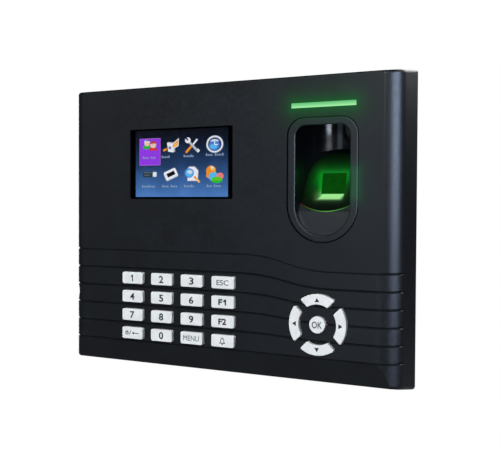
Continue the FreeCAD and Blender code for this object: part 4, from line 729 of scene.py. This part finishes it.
def draw_tools(art):
    art.begin(0.624, 0.238)
    art.draw("white", block(7.4, 0.9, 0.3, 0.2, 50), block(1.8, 1.6, 3.0, -2.9, 135, 0.5))
    art.draw("orange", block(4.6, 1.2, -1.9, -2.2, 48, 0.4))
    art.draw("silver", block(7.6, 1.15, 0.2, -0.3, 132, 0.3))
    art.draw("white", disc(1.5, -2.4, 2.6, 1, 160, 470))
    art.draw("deep", turned(block(1.8, 0.9), 130, -2.9, 3.3))


def draw_clock(art):
    art.begin(0.86, 0.235)
    art.draw("silver", disc(4.5))
    art.draw("white", disc(4.2))
    art.draw("shade", disc(3.6))
    art.draw("deep", disc(3.3))
    art.draw("blue", disc(2.8, -0.2, -0.5))
    art.draw("sky", disc(2.0, -0.6, -1.2, 0.6))
    art.draw("pale", disc(2.3, 0, 1.2, 0.6, 10, 170))
    art.draw("white", block(0.45, 2.2, 0, 0.8), block(1.9, 0.45, 0.8, -0.2))


def draw_stick(art):
    art.begin(0.16, 0.66)
    art.draw("board", block(5.4, 3.0, -1.2, 0, -3, 0.4))
    art.draw("shade", block(4.4, 0.3, -1.2, 0.9, -3), block(3.2, 0.3, -1.6, -0.4, -3))
    art.draw("pale", block(2.2, 2.6, 2.7, 0.0, -3, 0.2))
    art.draw("white", block(1.2, 1.4, 2.8, 0.1, -3))


def draw_card(art):
    art.begin(0.392, 0.66)
    art.draw("silver", block(7.2, 4.8, 0.1, -0.3, 24, 0.8))
    art.draw("white", block(7.0, 4.6, 0, 0, 24, 0.8))
    art.draw("black", block(4.4, 2.1, 0.1, 0, 24, 0.15))


def draw_record(art):
    art.begin(0.624, 0.66)
    sheet = [(-2.6, -3.8), (3.0, -3.8), (3.4, 1.6), (1.4, 3.8), (-1.6, 3.8), (-2.6, 2.8)]
    art.draw("silver", sheet)
    art.draw("white", [(x * 0.92, z * 0.94) for x, z in sheet])
    art.draw("blue", disc(2.5, -1.6, 0.4))
    art.draw("sky", disc(2.0, -1.6, 0.4))
    art.draw("pale", disc(1.4, -1.2, 0.9, 0.7))
    art.draw("amber", turned(block(4.0, 1.1, radius=0.4), -48, 2.6, -3.0))
    art.draw("orange", turned(block(1.2, 1.1), -48, 1.6, -1.9))


def draw_pie(art):
    art.begin(0.86, 0.67)
    art.draw("orange", disc(2.6, -1.9, 1.6, 1.1, 60, 420), disc(1.5, -3.0, -0.6))
    art.draw("amber", disc(1.2, -0.9, 2.8, 0.9))
    art.draw("white", disc(0.6, -1.5, 3.4))
    art.draw("sky", disc(2.6, -0.5, -1.3, 0.9))
    art.draw("pink", disc(1.9, 2.8, -1.0, 0.9))
    art.draw("leaf", disc(3.0, 1.1, -3.0, 0.55))
    art.draw("green", disc(3.0, 1.1, -3.3, 0.4, 180, 360))


# Each icon's words: their middle as shares of the picture's width and height, and the number of
# dashes in each word.
CAPTIONS = (
    (0.15, 0.41, (4, 3)), (0.335, 0.405, (5,)), (0.585, 0.40, (6,)), (0.86, 0.39, (4, 5)),
    (0.145, 0.845, (8,)), (0.38, 0.845, (4, 4)), (0.59, 0.845, (6,)), (0.85, 0.845, (3, 4)),
)


def draw_captions(art):
    """Rows of small dashes where a menu has its words."""
    step, dash_width, usual_height = 1.02, 0.62, 0.9
    heights = (1.3, 0.85, 0.95, 0.85)
    for across, down, words in CAPTIONS:
        art.begin(across, down)
        art.layer = 4
        x = -step * (sum(words) + len(words) - 2) / 2
        dashes = []
        for word in words:
            for letter in range(word):
                height = heights[letter % len(heights)]
                rise = (height - usual_height) / 2
                dashes.append(block(dash_width, height, x, rise, 0, 0.2))
                x += step
            x += step
        art.plain("caption", *dashes)


def make_picture():
    art = Picture(screen_colours())
    for draw in (draw_people, draw_megaphone, draw_tools, draw_clock, draw_stick, draw_card,
                 draw_record, draw_pie, draw_captions):
        draw(art)
    art.finish("screen_menu", ROOT, "screen")


# ---- camera, floor and light --------------------------------------------------------------------

CAMERA_PLACE = Vector((198.9, -382.3, 10.0)) * MM
CAMERA_YAW, CAMERA_PITCH, CAMERA_ROLL = 27.485, 1.45, 0.28
CAMERA_LENS = 59.5
WORLD_STRENGTH = 0.16
FLOOR_HALF_SIZE, FLOOR_DROP = 6.0, 0.45


def make_camera():
    """A camera to the right of the terminal, turned left towards it and a little down."""
    camera = bpy.data.objects.new("camera", bpy.data.cameras.new("camera"))
    bpy.context.scene.collection.objects.link(camera)
    camera.data.sensor_width = 36
    camera.data.lens = CAMERA_LENS
    camera.data.clip_start = 0.01
    turn = Matrix.Rotation(math.radians(CAMERA_YAW), 4, "Z")
    tip = Matrix.Rotation(math.radians(90 - CAMERA_PITCH), 4, "X")
    roll = Matrix.Rotation(math.radians(CAMERA_ROLL), 4, "Z")
    camera.matrix_world = Matrix.Translation(CAMERA_PLACE) @ turn @ tip @ roll
    bpy.context.scene.camera = camera


def seen_as_white(nodes, links, plain, output):
    """White where the camera looks straight at it, and the plain shader for all other rays."""
    white = nodes.new("ShaderNodeEmission" if output.bl_idname == "ShaderNodeOutputMaterial"
                      else "ShaderNodeBackground")
    white.inputs["Color"].default_value = (1, 1, 1, 1)
    white.inputs["Strength"].default_value = 1
    path = nodes.new("ShaderNodeLightPath")
    mix = nodes.new("ShaderNodeMixShader")
    links.new(path.outputs["Is Camera Ray"], mix.inputs[0])
    links.new(plain.outputs[0], mix.inputs[1])
    links.new(white.outputs[0], mix.inputs[2])
    links.new(mix.outputs[0], output.inputs["Surface"])


def make_floor():
    mesh = bpy.data.meshes.new("floor")
    corners = [(x * FLOOR_HALF_SIZE, y * FLOOR_HALF_SIZE, -FLOOR_DROP)
               for x, y in ((-1, -1), (1, -1), (1, 1), (-1, 1))]
    mesh.from_pydata(corners, [], [(0, 1, 2, 3)])
    floor = bpy.data.objects.new("floor", mesh)
    bpy.context.scene.collection.objects.link(floor)
    material = bpy.data.materials.new("pale_floor")
    material.use_nodes = True
    tree = material.node_tree
    plain = tree.nodes["Principled BSDF"]
    plain.inputs["Base Color"].default_value = (0.2, 0.2, 0.2, 1)
    seen_as_white(tree.nodes, tree.links, plain, tree.nodes["Material Output"])
    mesh.materials.append(material)


def make_world():
    """Dim all round, and brighter in front of the terminal than behind and below it."""
    world = bpy.data.worlds.new("studio")
    bpy.context.scene.world = world
    world.use_nodes = True
    tree = world.node_tree
    plain = tree.nodes["Background"]
    place = tree.nodes.new("ShaderNodeTexCoord")
    axis = tree.nodes.new("ShaderNodeSeparateXYZ")
    tree.links.new(place.outputs["Generated"], axis.inputs[0])
    share = tree.nodes.new("ShaderNodeMapRange")
    for name, value in (("From Min", 0.6), ("From Max", -1.0), ("To Min", 0.0), ("To Max", 1.0)):
        share.inputs[name].default_value = value
    tree.links.new(axis.outputs["Y"], share.inputs["Value"])
    band = tree.nodes.new("ShaderNodeValToRGB")
    band.color_ramp.elements[0].color = (0.015, 0.017, 0.02, 1)
    band.color_ramp.elements[1].color = (0.86, 0.93, 1, 1)
    tree.links.new(share.outputs[0], band.inputs["Fac"])
    tree.links.new(band.outputs["Color"], plain.inputs["Color"])
    plain.inputs["Strength"].default_value = WORLD_STRENGTH
    seen_as_white(tree.nodes, tree.links, plain, tree.nodes["World Output"])


def softbox(name, place, aim, width, height, power, colour=(1, 1, 1)):
    """A rectangular light at a place, aimed at a point and unseen by the camera."""
    light = bpy.data.lights.new(name, "AREA")
    light.shape = "RECTANGLE"
    light.size = width
    light.size_y = height
    light.energy = power
    light.color = colour
    item = bpy.data.objects.new(name, light)
    item.location = place
    item.rotation_euler = (Vector(aim) - Vector(place)).to_track_quat("-Z", "Y").to_euler()
    item.visible_camera = False
    bpy.context.scene.collection.objects.link(item)
    return item


def make_lights():
    """Soft light from all sides. The edge light only gives the highlight down the right edge,
    and the recess light only reaches the finger guide, for the streak in its back wall."""
    middle, right_edge, recess = (0, 0, 0), (0.085, -0.02, 0), (0.054, 0, 0.02)
    cool, pale_blue = (0.88, 0.94, 1), (0.78, 0.87, 1)
    softbox("key_light", (0.2, -1.5, 0.9), middle, 0.9, 0.8, 34, cool)
    softbox("front_light", (-0.25, -1.45, -0.05), (0.06, 0, 0), 0.5, 0.6, 1.5, (0.6, 0.8, 1))
    highlight = softbox("edge_light", (1.16, -0.25, 0.27), right_edge, 0.85, 0.6, 30,
                        (0.6, 0.73, 1))
    highlight.visible_diffuse = False
    streak = softbox("recess_light", (0.66, -0.75, -0.04), recess, 0.54, 0.16, 8, pale_blue)
    receivers = bpy.data.collections.new("lit_recess")
    receivers.objects.link(frame["nodes"]["finger_guide"])
    streak.light_linking.receiver_collection = receivers
    softbox("left_light", (-1.2, -0.9, 0.4), middle, 0.6, 1.0, 1)
    softbox("back_light", (0.2, 1.5, 1.0), middle, 1.2, 1.2, 26)
    softbox("low_back_light", (-0.9, 1.0, -0.1), middle, 0.8, 0.8, 8)


bpy.context.scene.view_settings.view_transform = "Standard"
make_camera()
give_materials(make_materials())
make_legends()
make_screw_crosses()
make_picture()
make_floor()
make_world()
make_lights()
